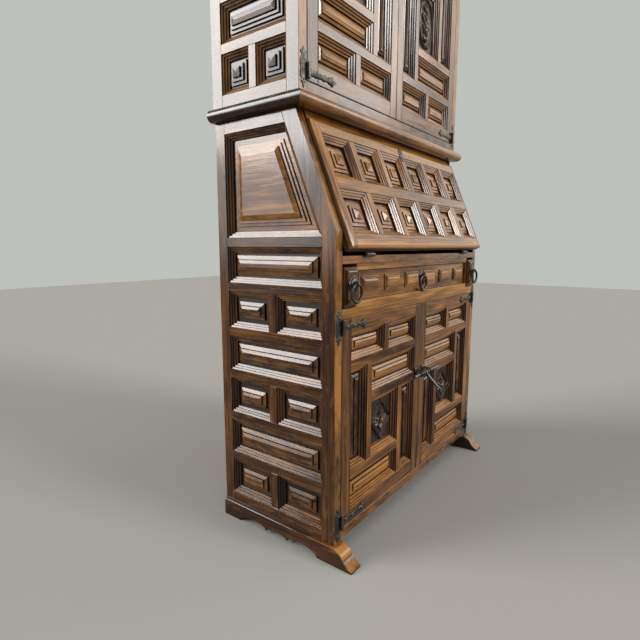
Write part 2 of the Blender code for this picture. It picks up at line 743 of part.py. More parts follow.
def door_pair(prefix, openings, edge, hinge_x, face_y, low, width, height, rails, strap_inset):
    """Two doors that mirror each other, each with two strap hinges; rails are top and bottom borders."""
    outline = rect(0, 0, width, height)
    field = inset(outline, [rails[1], MEETING_STILE, rails[0], HINGE_STILE])
    axles = {}
    for name, side in SIDES:
        axle = carrier(f"{prefix}_{name}_axis", Vector((side * hinge_x, face_y + HINGE_Y, low)), desk)
        matrix = basis(X * -side, Z, -Y, Vector((side * edge, face_y, low)))
        framed_leaf(f"{prefix}_{name}", outline, field, openings, DOOR_T, matrix, axle)
        for place, v in (("bottom", strap_inset), ("top", height - strap_inset)):
            strap_hinge(f"{prefix}_{name}_hinge_{place}", side, low + v, face_y, axle)
        axles[name] = axle
    return axles


def fall():
    axis = carrier("fall_axis", FALL_AXIS, desk)
    face = HINGE_RISE + FALL_T
    matrix = basis(X, ALONG_FALL, OUT_OF_FALL, FALL_AXIS + OUT_OF_FALL * face)
    outline = rect(-DOOR_EDGE, FALL_FOOT, DOOR_EDGE, FALL_END)
    field = inset(outline, [FALL_BOTTOM_RAIL, FALL_STILE, FALL_TOP_RAIL, FALL_STILE])
    low, high = field[0], field[2]
    cell_w = (high.x - low.x - (FALL_COLUMNS - 1) * FALL_BAR) / FALL_COLUMNS
    cell_h = (high.y - low.y - FALL_MID_RAIL) / 2
    openings = []
    for column in range(FALL_COLUMNS):
        u = low.x + column * (cell_w + FALL_BAR)
        openings.append(rect(u, low.y, u + cell_w, low.y + cell_h))
        openings.append(rect(u, high.y - cell_h, u + cell_w, high.y))
    framed_leaf("fall", outline, field, openings, FALL_T, matrix, axis, len(openings))
    leaf_top = HINGE_RISE - SEAT
    for name, side in SIDES:
        middle = FALL_AXIS + X * side * BUTT_X
        ends = [middle - X * BUTT_L / 2, middle + X * BUTT_L / 2]
        obj = add(f"fall_hinge_{name}", tube(ends, [BUTT_R] * 2, BARREL_SIDES), IRON, axis)
        leaf = rect(-BUTT_L / 2, 0, BUTT_L / 2, BUTT_LEAF_H)
        place = basis(X, ALONG_FALL, OUT_OF_FALL, middle)
        fuse(obj, [slab(leaf, place, leaf_top, leaf_top - BUTT_LEAF_T)])
        smooth(obj)


def ring_pull(name, x, face_y, radius, on):
    """Round iron plate with an eye, and the ring that hangs in it."""
    outline = circle((x, PULL_Z), radius, PLATE_SIDES)
    disc = slab(outline, basis(X, Z, -Y, Y * face_y), SEAT + PULL_PLATE_T, SEAT)
    plate_obj = add(f"{name}_plate", disc, IRON, on)
    pivot = Vector((x, face_y - SEAT - PULL_OUT, PULL_Z))
    round_eye = circle((0, 0), EYE_R, WIRE_SIDES * 2)
    hole = circle((0, 0), EYE_R - EYE_WALL, WIRE_SIDES * 2)
    fuse(plate_obj, [slab(round_eye, basis(Y, Z, X, pivot), EYE_HALF_W, -EYE_HALF_W, [hole])])
    smooth(plate_obj)
    swing = carrier(f"{name}_ring_axis", pivot, on)
    ring = bmesh.new()
    loops = []
    for i in range(RING_SIDES):
        out = X * sin(2 * pi * i / RING_SIDES) + Z * cos(2 * pi * i / RING_SIDES)
        turns = [2 * pi * k / WIRE_SIDES for k in range(WIRE_SIDES)]
        middle = pivot - Z * RING_R + out * RING_R
        loops.append([ring.verts.new(middle + (out * cos(a) + Y * sin(a)) * RING_WIRE_R) for a in turns])
    for first, second in zip(loops, loops[1:] + loops[:1]):
        wall(ring, first, second)
    smooth(add(f"{name}_ring", ring, IRON, swing))


def drawer():
    runner = carrier("drawer_runner", Vector((0, DRAWER_RECESS, DRAWER_Z)), desk)
    low, high = DRAWER_Z + RUN, BED_RAIL_Z - DOOR_GAP
    outline = rect(-DRAWER_HALF, low, DRAWER_HALF, high)
    middle = (DRAWER_Z + BED_RAIL_Z) / 2
    blocks = []
    for i in range(DRAWER_BLOCKS):
        u = (i - (DRAWER_BLOCKS - 1) / 2) * BLOCK_PITCH
        block = rect(u - BLOCK_W / 2, middle - BLOCK_H / 2, u + BLOCK_W / 2, middle + BLOCK_H / 2)
        blocks.append(([(inset(block, inwards), up) for inwards, up in BLOCK_MOULDING], False))
    front = plate([(outline, 0), (outline, -DRAWER_FRONT_T)], blocks)
    front.transform(basis(X, Z, -Y, Y * DRAWER_RECESS))
    add("drawer_front", front, STAINED, runner)
    rim = rect(-DRAWER_HALF, DRAWER_RECESS + DRAWER_FRONT_T + SEAT, DRAWER_HALF, DRAWER_BACK_Y)
    hollow = inset(rim, DRAWER_WALL)
    top = high - DRAWER_BOX_DROP
    tray = plate(
        [(rim, top), (rim, low)],
        [([(hollow, top), (hollow, low + DRAWER_BOTTOM_T)], False)],
    )
    add("drawer_box", tray, INSIDE, runner)
    ring_pull("drawer_pull", 0, DRAWER_RECESS, DRAWER_PLATE_R, runner)


def lopers():
    for name, side in SIDES:
        runner = carrier(f"loper_{name}_runner", Vector((side * LOPER_INNER, 0, LOPER_Z)), desk)
        outline = rect(LOPER_INNER, LOPER_Z, LOPER_OUTER, LOPER_TOP)
        rim = [(inset(outline, inwards), LOPER_PROUD - depth) for inwards, depth in LOPER_MOULDING]
        bar = plate(rim + [(outline, -LOPER_BACK_Y)])
        bar.transform(basis(X * side, Z, -Y, Vector()))
        add(f"loper_{name}", bar, STAINED, runner)
        middle = side * (LOPER_INNER + LOPER_OUTER) / 2
        ring_pull(f"loper_{name}_pull", middle, -LOPER_PROUD, LOPER_PLATE_R, runner)


def staple(u):
    """Upright loop round the bolt, standing on its plate, from u outwards along the bolt."""
    outer = BOLT_R + 2 * SEAT + STAPLE_WALL
    foot = -SEAT - LATCH_PLATE_T / 2
    crown = [Vector((BOLT_Y + outer * cos(a), BOLT_Z + outer * sin(a))) for a in CROWN_TURNS]
    outline = [Vector((foot, BOLT_Z - outer)), Vector((foot, BOLT_Z + outer))] + crown
    hole = circle((BOLT_Y, BOLT_Z), BOLT_R + 2 * SEAT, WIRE_SIDES * 2)
    return outline, hole, u, u + STAPLE_W


def latch(doors):
    """Bolt on the right door with its lever and staples, and the keeper on the left door."""
    plates = {}
    for node, side, on in (("latch_plate", 1, doors["right"]), ("latch_keeper", -1, doors["left"])):
        low = (LATCH_PLATE_NEAR, BOLT_Z - LATCH_PLATE_H / 2)
        shape = rect(*low, LATCH_PLATE_FAR, BOLT_Z + LATCH_PLATE_H / 2)
        mesh = slab(shape, basis(X * side, Z, -Y, Vector()), SEAT + LATCH_PLATE_T, SEAT)
        obj = add(node, mesh, IRON, on)
        joined = []
        for u in (STAPLE_NEAR, STAPLE_FAR):
            outline, hole, start, end = staple(u)
            holes = [hole] if side > 0 else []
            joined.append(slab(outline, basis(Y, Z, X * side, Vector()), end, start, holes))
        plates[node] = (obj, joined)
    axis = Vector((0, BOLT_Y, BOLT_Z))
    keeper = [axis - X * KEEPER_REACH, axis - X * BOLT_START]
    plates["latch_keeper"][1].append(tube(keeper, [BOLT_R] * 2, BARREL_SIDES))
    for obj, joined in plates.values():
        fuse(obj, joined)
        smooth(obj)
    turn = carrier("latch_axis", axis, doors["right"])
    ends = [axis + X * BOLT_START, axis + X * BOLT_REACH]
    bolt = add("latch_bolt", tube(ends, [BOLT_R] * 2, BARREL_SIDES), IRON, turn)
    path, radii = [], []
    for i in range(LEVER_STEPS + 1):
        share = i / LEVER_STEPS
        lift = LEVER_CURL * share**LEVER_HOOK - LEVER_L * sin(LEVER_DROP) * share
        out = -LEVER_L * cos(LEVER_DROP) * share
        path.append(axis + Vector((LEVER_X + LEVER_LEAN * share**2, out, lift)))
        radii.append(LEVER_ROOT_R + (LEVER_TIP_R - LEVER_ROOT_R) * share)
    fuse(bolt, [tube(path, radii, WIRE_SIDES)])
    smooth(bolt)


clear_scene()
SIDES = (("left", -1), ("right", 1))
CROWN_TURNS = [pi / 2 + pi * i / WIRE_SIDES for i in range(WIRE_SIDES + 1)]
STAINED = finish_of("stained_wood", (0.16, 0.062, 0.022), 0.38)
INSIDE = finish_of("interior_wood", (0.30, 0.17, 0.08), 0.6)
IRON = finish_of("wrought_iron", (0.035, 0.034, 0.032), 0.5, 0.8)

desk = carrier("desk", Vector())
desk.location = (0, -ORIGIN_Y, 0)
feet()
base_sides()
base_boards()
front_frame()
loper_guides()
pigeonholes()
slant_rail()
nosed_board("waist_board", WAIST_Z + SEAT, UPPER_Z - SEAT)
upper_cabinet()
nosed_board("cornice", UPPER_TOP + SEAT, UPPER_TOP + CORNICE_T)
fall()
drawer()
lopers()
lower_doors = door_pair(
    "door",
    door_openings(),
    DOOR_EDGE,
    HINGE_X,
    0,
    FLOOR_TOP + DOOR_GAP,
    DOOR_W,
    DOOR_H,
    (DOOR_RAIL, DOOR_FOOT_RAIL),
    STRAP_INSET,
)
door_pair(
    "upper_door",
    upper_door_openings(),
    UPPER_EDGE,
    UPPER_HINGE_X,
    UPPER_FRONT_Y,
    UPPER_FLOOR_TOP + DOOR_GAP,
    UPPER_DOOR_W,
    UPPER_DOOR_H,
    (UPPER_DOOR_RAIL, UPPER_DOOR_RAIL),
    UPPER_STRAP_INSET,
)
latch(lower_doors)
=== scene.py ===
"""Looks of the two-part writing desk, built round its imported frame.

Pieces are drawn with the front of the base as the plane y = 0, its middle as x = 0 and the floor as
z = 0, and are then moved to where the frame stands.
"""

import random
from functools import partial
from math import atan2, cos, exp, hypot, pi, radians, sin, sqrt, tan

import bmesh
import bpy
from mathutils import Matrix, Vector


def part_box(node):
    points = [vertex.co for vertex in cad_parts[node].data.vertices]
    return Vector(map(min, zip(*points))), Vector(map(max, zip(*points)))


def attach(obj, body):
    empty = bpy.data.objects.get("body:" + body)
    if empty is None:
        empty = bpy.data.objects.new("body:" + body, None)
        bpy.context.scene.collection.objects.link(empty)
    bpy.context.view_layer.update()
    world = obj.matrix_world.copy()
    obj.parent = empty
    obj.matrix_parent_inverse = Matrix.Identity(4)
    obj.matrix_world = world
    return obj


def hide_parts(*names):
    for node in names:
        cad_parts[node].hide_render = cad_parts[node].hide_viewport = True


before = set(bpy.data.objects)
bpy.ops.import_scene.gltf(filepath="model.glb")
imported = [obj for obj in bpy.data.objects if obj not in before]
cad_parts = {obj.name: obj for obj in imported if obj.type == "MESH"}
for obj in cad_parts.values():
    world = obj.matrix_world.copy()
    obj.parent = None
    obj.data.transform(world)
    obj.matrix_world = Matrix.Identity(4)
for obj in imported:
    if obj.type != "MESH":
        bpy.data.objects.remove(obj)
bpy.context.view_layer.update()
front_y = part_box("bottom_board")[0].y
X, Y, Z = Vector((1, 0, 0)), Vector((0, 1, 0)), Vector((0, 0, 1))
SIDES = (("left", -1), ("right", 1))

# Sled feet
# Two hardwood planks on edge carry the desk, stained walnut brown and varnished. Each is sawn to two
# scallops below and an ogee toe in front, where the stain is rubbed thin and the left toe is painted lighter
# as a highlight, and the side stands on top.


def add_node(tree, kind, inputs=None, **settings):
    """A node with its settings, and with its inputs set to values or linked to sockets."""
    node = tree.nodes.new(kind)
    for name, value in settings.items():
        setattr(node, name, value)
    for name, value in (inputs or {}).items():
        if isinstance(value, bpy.types.NodeSocket):
            tree.links.new(value, node.inputs[name])
        else:
            node.inputs[name].default_value = value
    return node


def new_group(name, inputs, outputs):
    """An empty shader node group with named sockets, and its two ends."""
    tree = bpy.data.node_groups.new(name, "ShaderNodeTree")
    for label, kind in inputs:
        tree.interface.new_socket(label, in_out="INPUT", socket_type=kind)
    for label in outputs:
        tree.interface.new_socket(label, in_out="OUTPUT", socket_type="NodeSocketFloat")
    return tree, tree.nodes.new("NodeGroupInput"), tree.nodes.new("NodeGroupOutput")


def stretched_noise(tree, spot, stretch, detail, distortion):
    """Noise of so many waves to the metre each way."""
    run = add_node(tree, "ShaderNodeVectorMath", {0: spot, 1: stretch}, operation="MULTIPLY")
    pattern = {"Vector": run.outputs[0], "Scale": 1.0, "Detail": detail, "Distortion": distortion}
    return add_node(tree, "ShaderNodeTexNoise", pattern).outputs[0]


def maths(tree, operation, *terms):
    """The result of a sum on values or sockets."""
    return add_node(tree, "ShaderNodeMath", dict(enumerate(terms)), operation=operation).outputs[0]


def spread(tree, value, low, high, to_low=0.0, to_high=1.0):
    """A value carried from one range to another, and held at its ends."""
    ends = {"Value": value, "From Min": low, "From Max": high, "To Min": to_low, "To Max": to_high}
    return add_node(tree, "ShaderNodeMapRange", ends).outputs[0]


def blended(tree, share, first, second):
    """One colour laid over another; the numbers are the mix node's sockets for colours."""
    colours = {0: share, 6: first, 7: second}
    return add_node(tree, "ShaderNodeMix", colours, data_type="RGBA").outputs[2]


figure, figure_in, figure_out = new_group(
    "wood_figure", [("Grain", "NodeSocketVector")], ["Bands", "Fibre", "Cloud"]
)
for label, stretch, detail, distortion in (
    ("Bands", (2.4, 30, 30), 4, 1.2),
    ("Fibre", (10, 330, 330), 2, 0.0),
    ("Cloud", (4, 13, 13), 3, 0.6),
):
    pattern = stretched_noise(figure, figure_in.outputs["Grain"], stretch, detail, distortion)
    figure.links.new(pattern, figure_out.inputs[label])

# This mask is shared by wood and iron: above zero it is real rubbing and also painted highlight on edges,
# below zero it is old wax in corners and also painted shade in recesses, quirks and risers.
rubbing, rubbing_in, rubbing_out = new_group(
    "rubbed_waxed_and_painted_light",
    [("Wear_and_light", "NodeSocketFloat"), ("Place", "NodeSocketVector")],
    ["Rubbed", "Waxed"],
)
patchy = stretched_noise(rubbing, rubbing_in.outputs["Place"], (26, 70, 70), 3, 0.0)
uneven = maths(rubbing, "MULTIPLY_ADD", patchy, 1.2, -0.6)
felt = maths(rubbing, "ADD", rubbing_in.outputs["Wear_and_light"], uneven)
rubbing.links.new(spread(rubbing, felt, 0.1, 0.9), rubbing_out.inputs["Rubbed"])
rubbing.links.new(spread(rubbing, rubbing_in.outputs["Wear_and_light"], -0.05, -0.9), rubbing_out.inputs["Waxed"])


def carried(tree, name, output):
    """What the mesh carries at each point under this name."""
    return add_node(tree, "ShaderNodeAttribute", attribute_name=name).outputs[output]


def wood(name, slot, stain, rubbed, wax, roughness):
    """A wood finish: stain has the colours of its figure, from dark to light.

    rubbed is the colour of places rubbed bare, and also of painted highlights; wax is the black of old wax in
    corners, and also painted shade in recesses, quirks and risers.
    """
    finish = bpy.data.materials.new(name)
    finish["slot"] = slot
    finish.use_nodes = True
    tree = finish.node_tree
    shader = tree.nodes["Principled BSDF"]
    shader.inputs["Specular IOR Level"].default_value = 0.42
    grain = carried(tree, "grain", "Vector")
    run = add_node(tree, "ShaderNodeGroup", {"Grain": grain}, node_tree=figure).outputs
    wear_and_painted_light = {"Wear_and_light": carried(tree, "wear_and_painted_light", "Fac"), "Place": grain}
    rubbing_and_light = add_node(tree, "ShaderNodeGroup", wear_and_painted_light, node_tree=rubbing).outputs
    tone_strength, mid_tone = 0.3, 0.42
    light = maths(tree, "MULTIPLY_ADD", carried(tree, "tone", "Fac"), tone_strength, mid_tone)
    for part, strength in (("Bands", 0.9), ("Fibre", 0.7), ("Cloud", 0.85)):
        shift = maths(tree, "SUBTRACT", run[part], 0.5)
        light = maths(tree, "MULTIPLY_ADD", shift, strength, light)
    ramp = add_node(tree, "ShaderNodeValToRGB", {"Fac": light})
    stops = (0.15, 0.4, 0.6, 0.8, 1.0)
    for share in stops[1:-1]:
        ramp.color_ramp.elements.new(share)
    for stop, share, colour in zip(ramp.color_ramp.elements, stops, stain):
        stop.position = share
        stop.color = (*colour, 1)
    # Lighter where rubbed and as painted highlight; black where waxed and as painted shade.
    bared_and_highlit = maths(tree, "MULTIPLY", rubbing_and_light["Rubbed"], 0.75)
    colour = blended(tree, bared_and_highlit, ramp.outputs["Color"], (*rubbed, 1))
    blackened = maths(tree, "MULTIPLY", rubbing_and_light["Waxed"], 0.95)
    colour = blended(tree, blackened, colour, (*wax, 1))
    tree.links.new(colour, shader.inputs["Base Color"])
    dull = spread(tree, run["Fibre"], 0.3, 0.7, roughness - 0.04, roughness + 0.08)
    dull = maths(tree, "MULTIPLY_ADD", rubbing_and_light["Waxed"], 0.35, dull)
    tree.links.new(dull, shader.inputs["Roughness"])
    height = maths(tree, "MULTIPLY_ADD", run["Fibre"], 0.6, run["Bands"])
    bump = add_node(tree, "ShaderNodeBump", {"Height": height, "Strength": 0.3, "Distance": 0.0006})
    tree.links.new(bump.outputs["Normal"], shader.inputs["Normal"])
    return finish


dark_stain = wood(
    "dark_stained_wood",
    "stained_wood",
    (
        (0.012, 0.0040, 0.0012),
        (0.042, 0.0145, 0.0032),
        (0.110, 0.0420, 0.0080),
        (0.220, 0.0920, 0.0180),
        (0.350, 0.1650, 0.0380),
    ),
    rubbed=(0.36, 0.16, 0.036),
    wax=(0.004, 0.0022, 0.0012),
    roughness=0.14,
)
chance = random.Random(11)


def stock():
    """An empty mesh whose points carry the run of the grain, rubbing and wax with painted light and shade,
    and tone.
    """
    mesh = bmesh.new()
    mesh.verts.layers.float_vector.new("grain")
    mesh.verts.layers.float.new("wear_and_painted_light")
    mesh.verts.layers.float.new("tone")
    return mesh


def shell(mesh, loops, along, tone=0.0, ends=True):
    """A closed skin over loops of (point, rubbing and painted light), with its grain along a direction; tone
    lightens it.

    Without ends, the last loop joins the first, as in a ring.
    """
    layers = mesh.verts.layers
    grain = layers.float_vector["grain"]
    along = Vector(along).normalized()
    across = along.orthogonal().normalized()
    axes = (along, across, along.cross(across))
    shift = Vector([chance.uniform(0, 9) for _ in axes])
    tone += chance.uniform(-0.35, 0.35)
    rows = []
    for loop in loops:
        row = []
        for point, rubbing_and_light in loop:
            vert = mesh.verts.new(point)
            vert[grain] = shift + Vector([vert.co.dot(axis) for axis in axes])
            vert[layers.float["wear_and_painted_light"]] = rubbing_and_light
            vert[layers.float["tone"]] = tone
            row.append(vert)
        rows.append(row)
    for first, second in zip(rows, rows[1:] if ends else rows[1:] + rows[:1]):
        for i in range(len(first)):
            j = (i + 1) % len(first)
            mesh.faces.new((first[i], first[j], second[j], second[i]))
    if ends:
        mesh.faces.new(rows[0])
        mesh.faces.new(rows[-1])


def place(name, mesh, finish, body, nodes=(), smooth=None):
    """Make the drawn mesh a piece that rides on a body and stands for nodes of the frame."""
    bmesh.ops.translate(mesh, verts=mesh.verts, vec=(0, front_y, 0))
    bmesh.ops.recalc_face_normals(mesh, faces=mesh.faces)
    data = bpy.data.meshes.new(name)
    mesh.to_mesh(data)
    mesh.free()
    if smooth:
        data.shade_smooth()
        data.set_sharp_from_angle(angle=radians(smooth))
    data.materials.append(finish)
    piece = bpy.data.objects.new(name, data)
    bpy.context.scene.collection.objects.link(piece)
    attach(piece, body)
    if nodes:
        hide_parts(*nodes)


def basis(u, v, w, origin=Vector()):
    """Matrix that takes flat drawing coordinates to the desk."""
    matrix = Matrix((u, v, w)).transposed().to_4x4()
    matrix.translation = origin
    return matrix


def inset(polygon, by):
    """A counter-clockwise polygon with its edges moved in, by one distance or by one for each edge."""
    distances = by if isinstance(by, (list, tuple)) else [by] * len(polygon)
    lines = []
    for start, end, distance in zip(polygon, polygon[1:] + polygon[:1], distances):
        along = (end - start).normalized()
        lines.append((start + Vector((-along.y, along.x)) * distance, along))
    corners = []
    for (p, d), (q, e) in zip(lines[-1:] + lines[:-1], lines):
        turn = d.x * e.y - d.y * e.x
        step = ((q - p).x * e.y - (q - p).y * e.x) / turn if abs(turn) > 1e-6 else 0
        corners.append(p + d * step if step else q.copy())
    return corners


def level(polygon, height, rubbing_and_light):
    """A loop for shell at one height of the drawing; rubbing_and_light, with painted light, may be one value
    or one for each point.
    """
    rubbings_and_light = rubbing_and_light if isinstance(rubbing_and_light, list) else [rubbing_and_light] * len(polygon)
    return [(Vector((p.x, p.y, height)), wear_and_painted_light) for p, wear_and_painted_light in zip(polygon, rubbings_and_light)]


DEPTH = 0.391
FOOT_TOP = 0.048
# between pieces that rest on each other
GAP = 0.0003
foot_t, foot_face, toe_reach, arris, margin = 0.042, 0.458, 0.056, 0.0012, 0.003
# start and end of each arch, each with its height, and the rise between them
arches = ((0.050, 0, 0.150, 0.0055, 0.017), (0.150, 0.0055, 0.226, 0.0055, 0.0105))
arches += ((0.226, 0.0055, 0.326, 0, 0.017),)
arch_steps = 14
# reach and height of the toe's ogee
roll = ((0.004, 0.0477), (0.0105, 0.0450), (0.0170, 0.0425), (0.0235, 0.0375), (0.0290, 0.0305))
slope = ((0.0315, 0.0240), (0.0355, 0.0195), (0.0425, 0.0140), (0.0490, 0.0100), (0.0535, 0.0075))
slope += ((0.0555, 0.0040),)
foot = [Vector((-toe_reach, 0)), Vector((arches[0][0], 0))]
for y0, z0, y1, z1, rise in arches:
    for i in range(1, arch_steps + 1):
        turn = pi * i / arch_steps
        share = (1 - cos(turn)) / 2
        foot.append(Vector((y0 + (y1 - y0) * share, z0 + (z1 - z0) * share + rise * sin(turn))))
foot += [Vector((DEPTH, 0)), Vector((DEPTH, FOOT_TOP - GAP))]
plain = len(foot)
foot += [Vector((-reach, height)) for reach, height in roll + slope]
slope_rubbing_and_light = [0.4, 0.5, 0.7, 0.7, 0.6, 0.4]
for name, side in SIDES:
    mesh = stock()
    # the left toe is lighter as painted highlight and the right one darker as painted shade; the other edges
    # are darkened and dulled as painted shade to quiet their highlight
    roll_rubbing_and_light = 1.1 if side < 0 else 0.4
    face_wear = [0.0] * len(foot)
    edge_rubbing_and_light = [-0.35] * plain + [0.4] + [roll_rubbing_and_light] * 4 + slope_rubbing_and_light
    skins = ((margin, 0, face_wear), (arris, 0, edge_rubbing_and_light), (0, -arris, edge_rubbing_and_light))
    skins += ((0, arris - foot_t, edge_rubbing_and_light), (arris, -foot_t, edge_rubbing_and_light), (margin, -foot_t, face_wear))
    shell(mesh, [level(inset(foot, back), depth, rubbing_and_light) for back, depth, rubbing_and_light in skins], X, -0.6)
    mesh.transform(basis(Y, Z, X * side, X * side * foot_face))
    place(f"sled_foot_{name}", mesh, dark_stain, "carcass", [f"foot_{name}"], smooth=30)

# Base sides
# Each side is a frame of stiles and rails in stained hardwood, grooved and pegged. Mitred sticks of
# stepped moulding line every opening, and a fielded panel floats behind them; the front leans back.

WIDTH, SIDE_T, KNEE_Z, WAIST_Z, SLANT = 0.900, 0.025, 0.8156, 1.0962, radians(22.6)
LIP, MOULD_W = 0.0185, 0.0162
PANEL_Z = -LIP - 0.0002


def banded(bands, ledge, rubbing_and_light, foot):
    """Inwards, down and wear of a moulding: sloping bands with a black riser before each, then a drop; the
    black is partly old wax and partly painted shade.

    bands has the riser, inner edge and depth of each band. The wear is that of the ledge behind a riser,
    and the drop starts from a foot.
    """
    profile = [(0.0, 0.0, 0.15)]
    for riser, edge, depth in bands:
        inwards, down, _ = profile[-1]
        down += riser
        # each riser is painted black, partly old wax and partly painted shade
        profile += [(inwards + 0.0003, down, -2.0), (inwards + 0.0005, down + 0.0001, -0.8)]
        profile += [(inwards + ledge, down + 0.0004, rubbing_and_light), (edge, depth, 0.15)]
    return profile + [(edge + 0.0005, foot, -1.0), (MOULD_W, LIP, -1.0)]


side_bands = ((0.0026, 0.0049, 0.0044), (0.0030, 0.0099, 0.0092), (0.0030, 0.0151, 0.0141))
MOULDING = banded(side_bands, ledge=0.0012, rubbing_and_light=0.05, foot=0.0160)


def rect(u0, v0, u1, v1):
    """A rectangle between two corners, counter-clockwise."""
    return [Vector(p) for p in ((u0, v0), (u1, v0), (u1, v1), (u0, v1))]


def member(mesh, polygon, front, back, along, tone=0.0, nosed=(), rubbed=None):
    """A straight member of a frame with eased arrises.

    Edges numbered in nosed are rounded over; rubbed has more rubbing at numbered points of the outline, which
    on the fall's bottom edge is partly a painted highlight.
    """
    ease, nose = 0.0007, 0.011
    rings = [(0.004, nose + 0.001, front, 0.0), (ease, nose, front, 0.2)]
    if nosed:
        # The rounded edge: chamfer and bead crest are lighter as painted highlights, the edge face and quirks
        # darker as painted shade, partly also rubbing and wax.
        edge = ((0.0070, 0.0014, 0.3), (0.0030, 0.0034, 0.3), (0.0012, 0.0048, 0.1), (0.0003, 0.0066, -0.6))
        bead = ((0, 0.0074, -1.0), (0.0006, 0.0084, -1.0), (0.0002, 0.0092, 0.1), (0, 0.0105, 0.5))
        bead += ((0.0002, 0.0118, 0.1), (0.0006, 0.0126, -1.0), (0, 0.0144, -1.0))
        rings += [(0, back_in, front - depth, rubbing_and_light) for back_in, depth, rubbing_and_light in edge + bead]
        rings.append((0, 0, back + ease, -0.3))
    else:
        rings += [(0, 0, front - ease, 0.25), (0, 0, back + ease, 0.2)]
    rings += [(ease, ease, back, 0.15), (0.004, 0.004, back, 0.0)]
    loops = []
    for plain, rounded, height, rubbing_and_light in rings:
        by = [rounded if k in nosed else plain for k in range(len(polygon))]
        more = rubbed if rubbing_and_light > 0 and rubbed else {}
        rubbings_and_light = [rubbing_and_light + more.get(k, 0.0) for k in range(len(polygon))]
        loops.append(level(inset(polygon, by), height, rubbings_and_light))
    shell(mesh, loops, along, tone)


def add_rubbing_and_light(rubbing_and_light, more):
    """More added where a point is above zero: rubbing, and in places painted highlight and painted shade."""
    return rubbing_and_light + more if rubbing_and_light > 0 else rubbing_and_light


def moulding_sticks(mesh, opening, profile, tone, rubbed):
    """Mitred sticks of moulding round an opening, let down from the face of the frame.

    rubbed is for lying and for upright sticks; the less rubbed are darker, as painted shade on the base's
    and doors' uprights. The bottom stick keeps its ledges light, a painted highlight where it faces up.
    """
    rings = [(inset(opening, inwards), -down, rubbing_and_light) for inwards, down, rubbing_and_light in profile]
    rings.append((opening, -LIP, 0.0))
    for i in range(len(opening)):
        j = (i + 1) % len(opening)
        # upright sticks: darker as painted shade; bottom stick: less black as painted highlight
        more, blackest = rubbed[i % 2], -1.0 if i else -0.15
        loops = []
        for corner in (i, j):
            stick = [(ring[corner], height, max(add_rubbing_and_light(rubbing_and_light, more), blackest)) for ring, height, rubbing_and_light in rings]
            loops.append([(Vector((*point, height)), rubbing_and_light) for point, height, rubbing_and_light in stick])
        shell(mesh, loops, (opening[j] - opening[i]).to_3d(), tone + more - rubbed[0])


def half_width(polygon):
    """Half the narrow side of the box round a polygon."""
    across, up = [p.x for p in polygon], [p.y for p in polygon]
    return min(max(across) - min(across), max(up) - min(up)) / 2


def risers(stages, quirk=0.0):
    """Inwards, up and wear of a stepped field, from the riser, width and climb of each stage.

    Each riser is black with a rubbed arris, a black quirk lies before it and a slope behind it; the black is
    partly wax and partly painted shade.
    """
    inwards = up = 0.0
    steps = []
    for riser, width, climb in stages:
        steps.append((inwards, up, -1.0))
        if inwards and quirk:
            inwards += quirk
            steps.append((inwards, up - 0.0002, -1.0))
        # black riser: partly old wax, partly painted shade
        steps += [(inwards + 0.0002, up + riser - 0.0003, -0.9), (inwards + 0.0004, up + riser, 0.25)]
        inwards, up = inwards + width, up + riser + climb
        steps.append((inwards - 0.0006, up - 0.0006 * climb / width, 0.1))
    return steps + [(inwards, up, 0.2)]


FIELD_QUIRK = 0.0014


def fielded(half):
    """Two bevels with a black quirk between them and a flat top, for a field of this half width; the black is
    partly wax and partly painted shade.
    """
    first, second = 0.42 * half, 0.34 * half
    steps = risers(((0.0050, first, 0.37 * first), (0.0028, second, 0.296 * second)), FIELD_QUIRK)
    return steps + [(min(steps[-1][0] + 0.0020, half - 0.0004), steps[-1][1], 0.0)]


def hipped(half):
    """A bevel, a black quirk and low slopes up to a ridge, for a field of this half width; the black is
    partly wax and partly painted shade.
    """
    first, second = 0.36 * half, 0.60 * half - FIELD_QUIRK
    return risers(((0.0044, first, 0.37 * first), (0.0028, second, 0.20 * second)), FIELD_QUIRK)


def stepped_pyramid(half, rise=0.0056, taller=0.0):
    """Two steps and a pyramid that climbs by its rise, for a field of this half width.

    Its risers may be made taller.
    """
    return risers(
        (
            (0.0032 + taller, 0.28 * half, 0.0005),
            (0.0030 + taller, 0.28 * half, 0.0005),
            (0.0028 + taller, 0.44 * half - 0.0008, rise),
        )
    )


def floating_panel(mesh, opening, back, flat, steps=None, tone=0.0, rubbed=0.0, waxed=-0.1):
    """A panel behind a moulded opening: a flat round the foot of its field, then the steps of the field.

    flat is the width of the flat, or one width for each edge of the opening, and waxed darkens it: partly old
    wax, partly painted shade in the recess.
    """
    flats = flat if isinstance(flat, list) else [flat] * len(opening)
    rim = inset(opening, GAP)
    loops = [level(rim, back, 0.0), level(rim, PANEL_Z, 0.0)]
    wax_and_shade_edge = 0.0012
    # a black line at the foot of the moulding and a darkened flat: partly old wax, partly painted shade in
    # the recess
    for inwards, rubbing_and_light in ((MOULD_W - 0.0004, -1.0), (MOULD_W + wax_and_shade_edge, waxed)):
        loops.append(level(inset(opening, inwards), PANEL_Z, rubbing_and_light))
    loops.append(level(inset(opening, [MOULD_W + wide - wax_and_shade_edge for wide in flats]), PANEL_Z, waxed))
    base = inset(opening, [MOULD_W + wide for wide in flats])
    if steps:
        for inwards, up, rubbing_and_light in steps(half_width(base)):
            loops.append(level(inset(base, inwards), PANEL_Z + up, add_rubbing_and_light(rubbing_and_light, rubbed)))
    across = opening[1] - opening[0]
    upright = opening[2] - opening[1]
    shell(mesh, loops, X if across.length > upright.length * 1.05 else Y, tone)


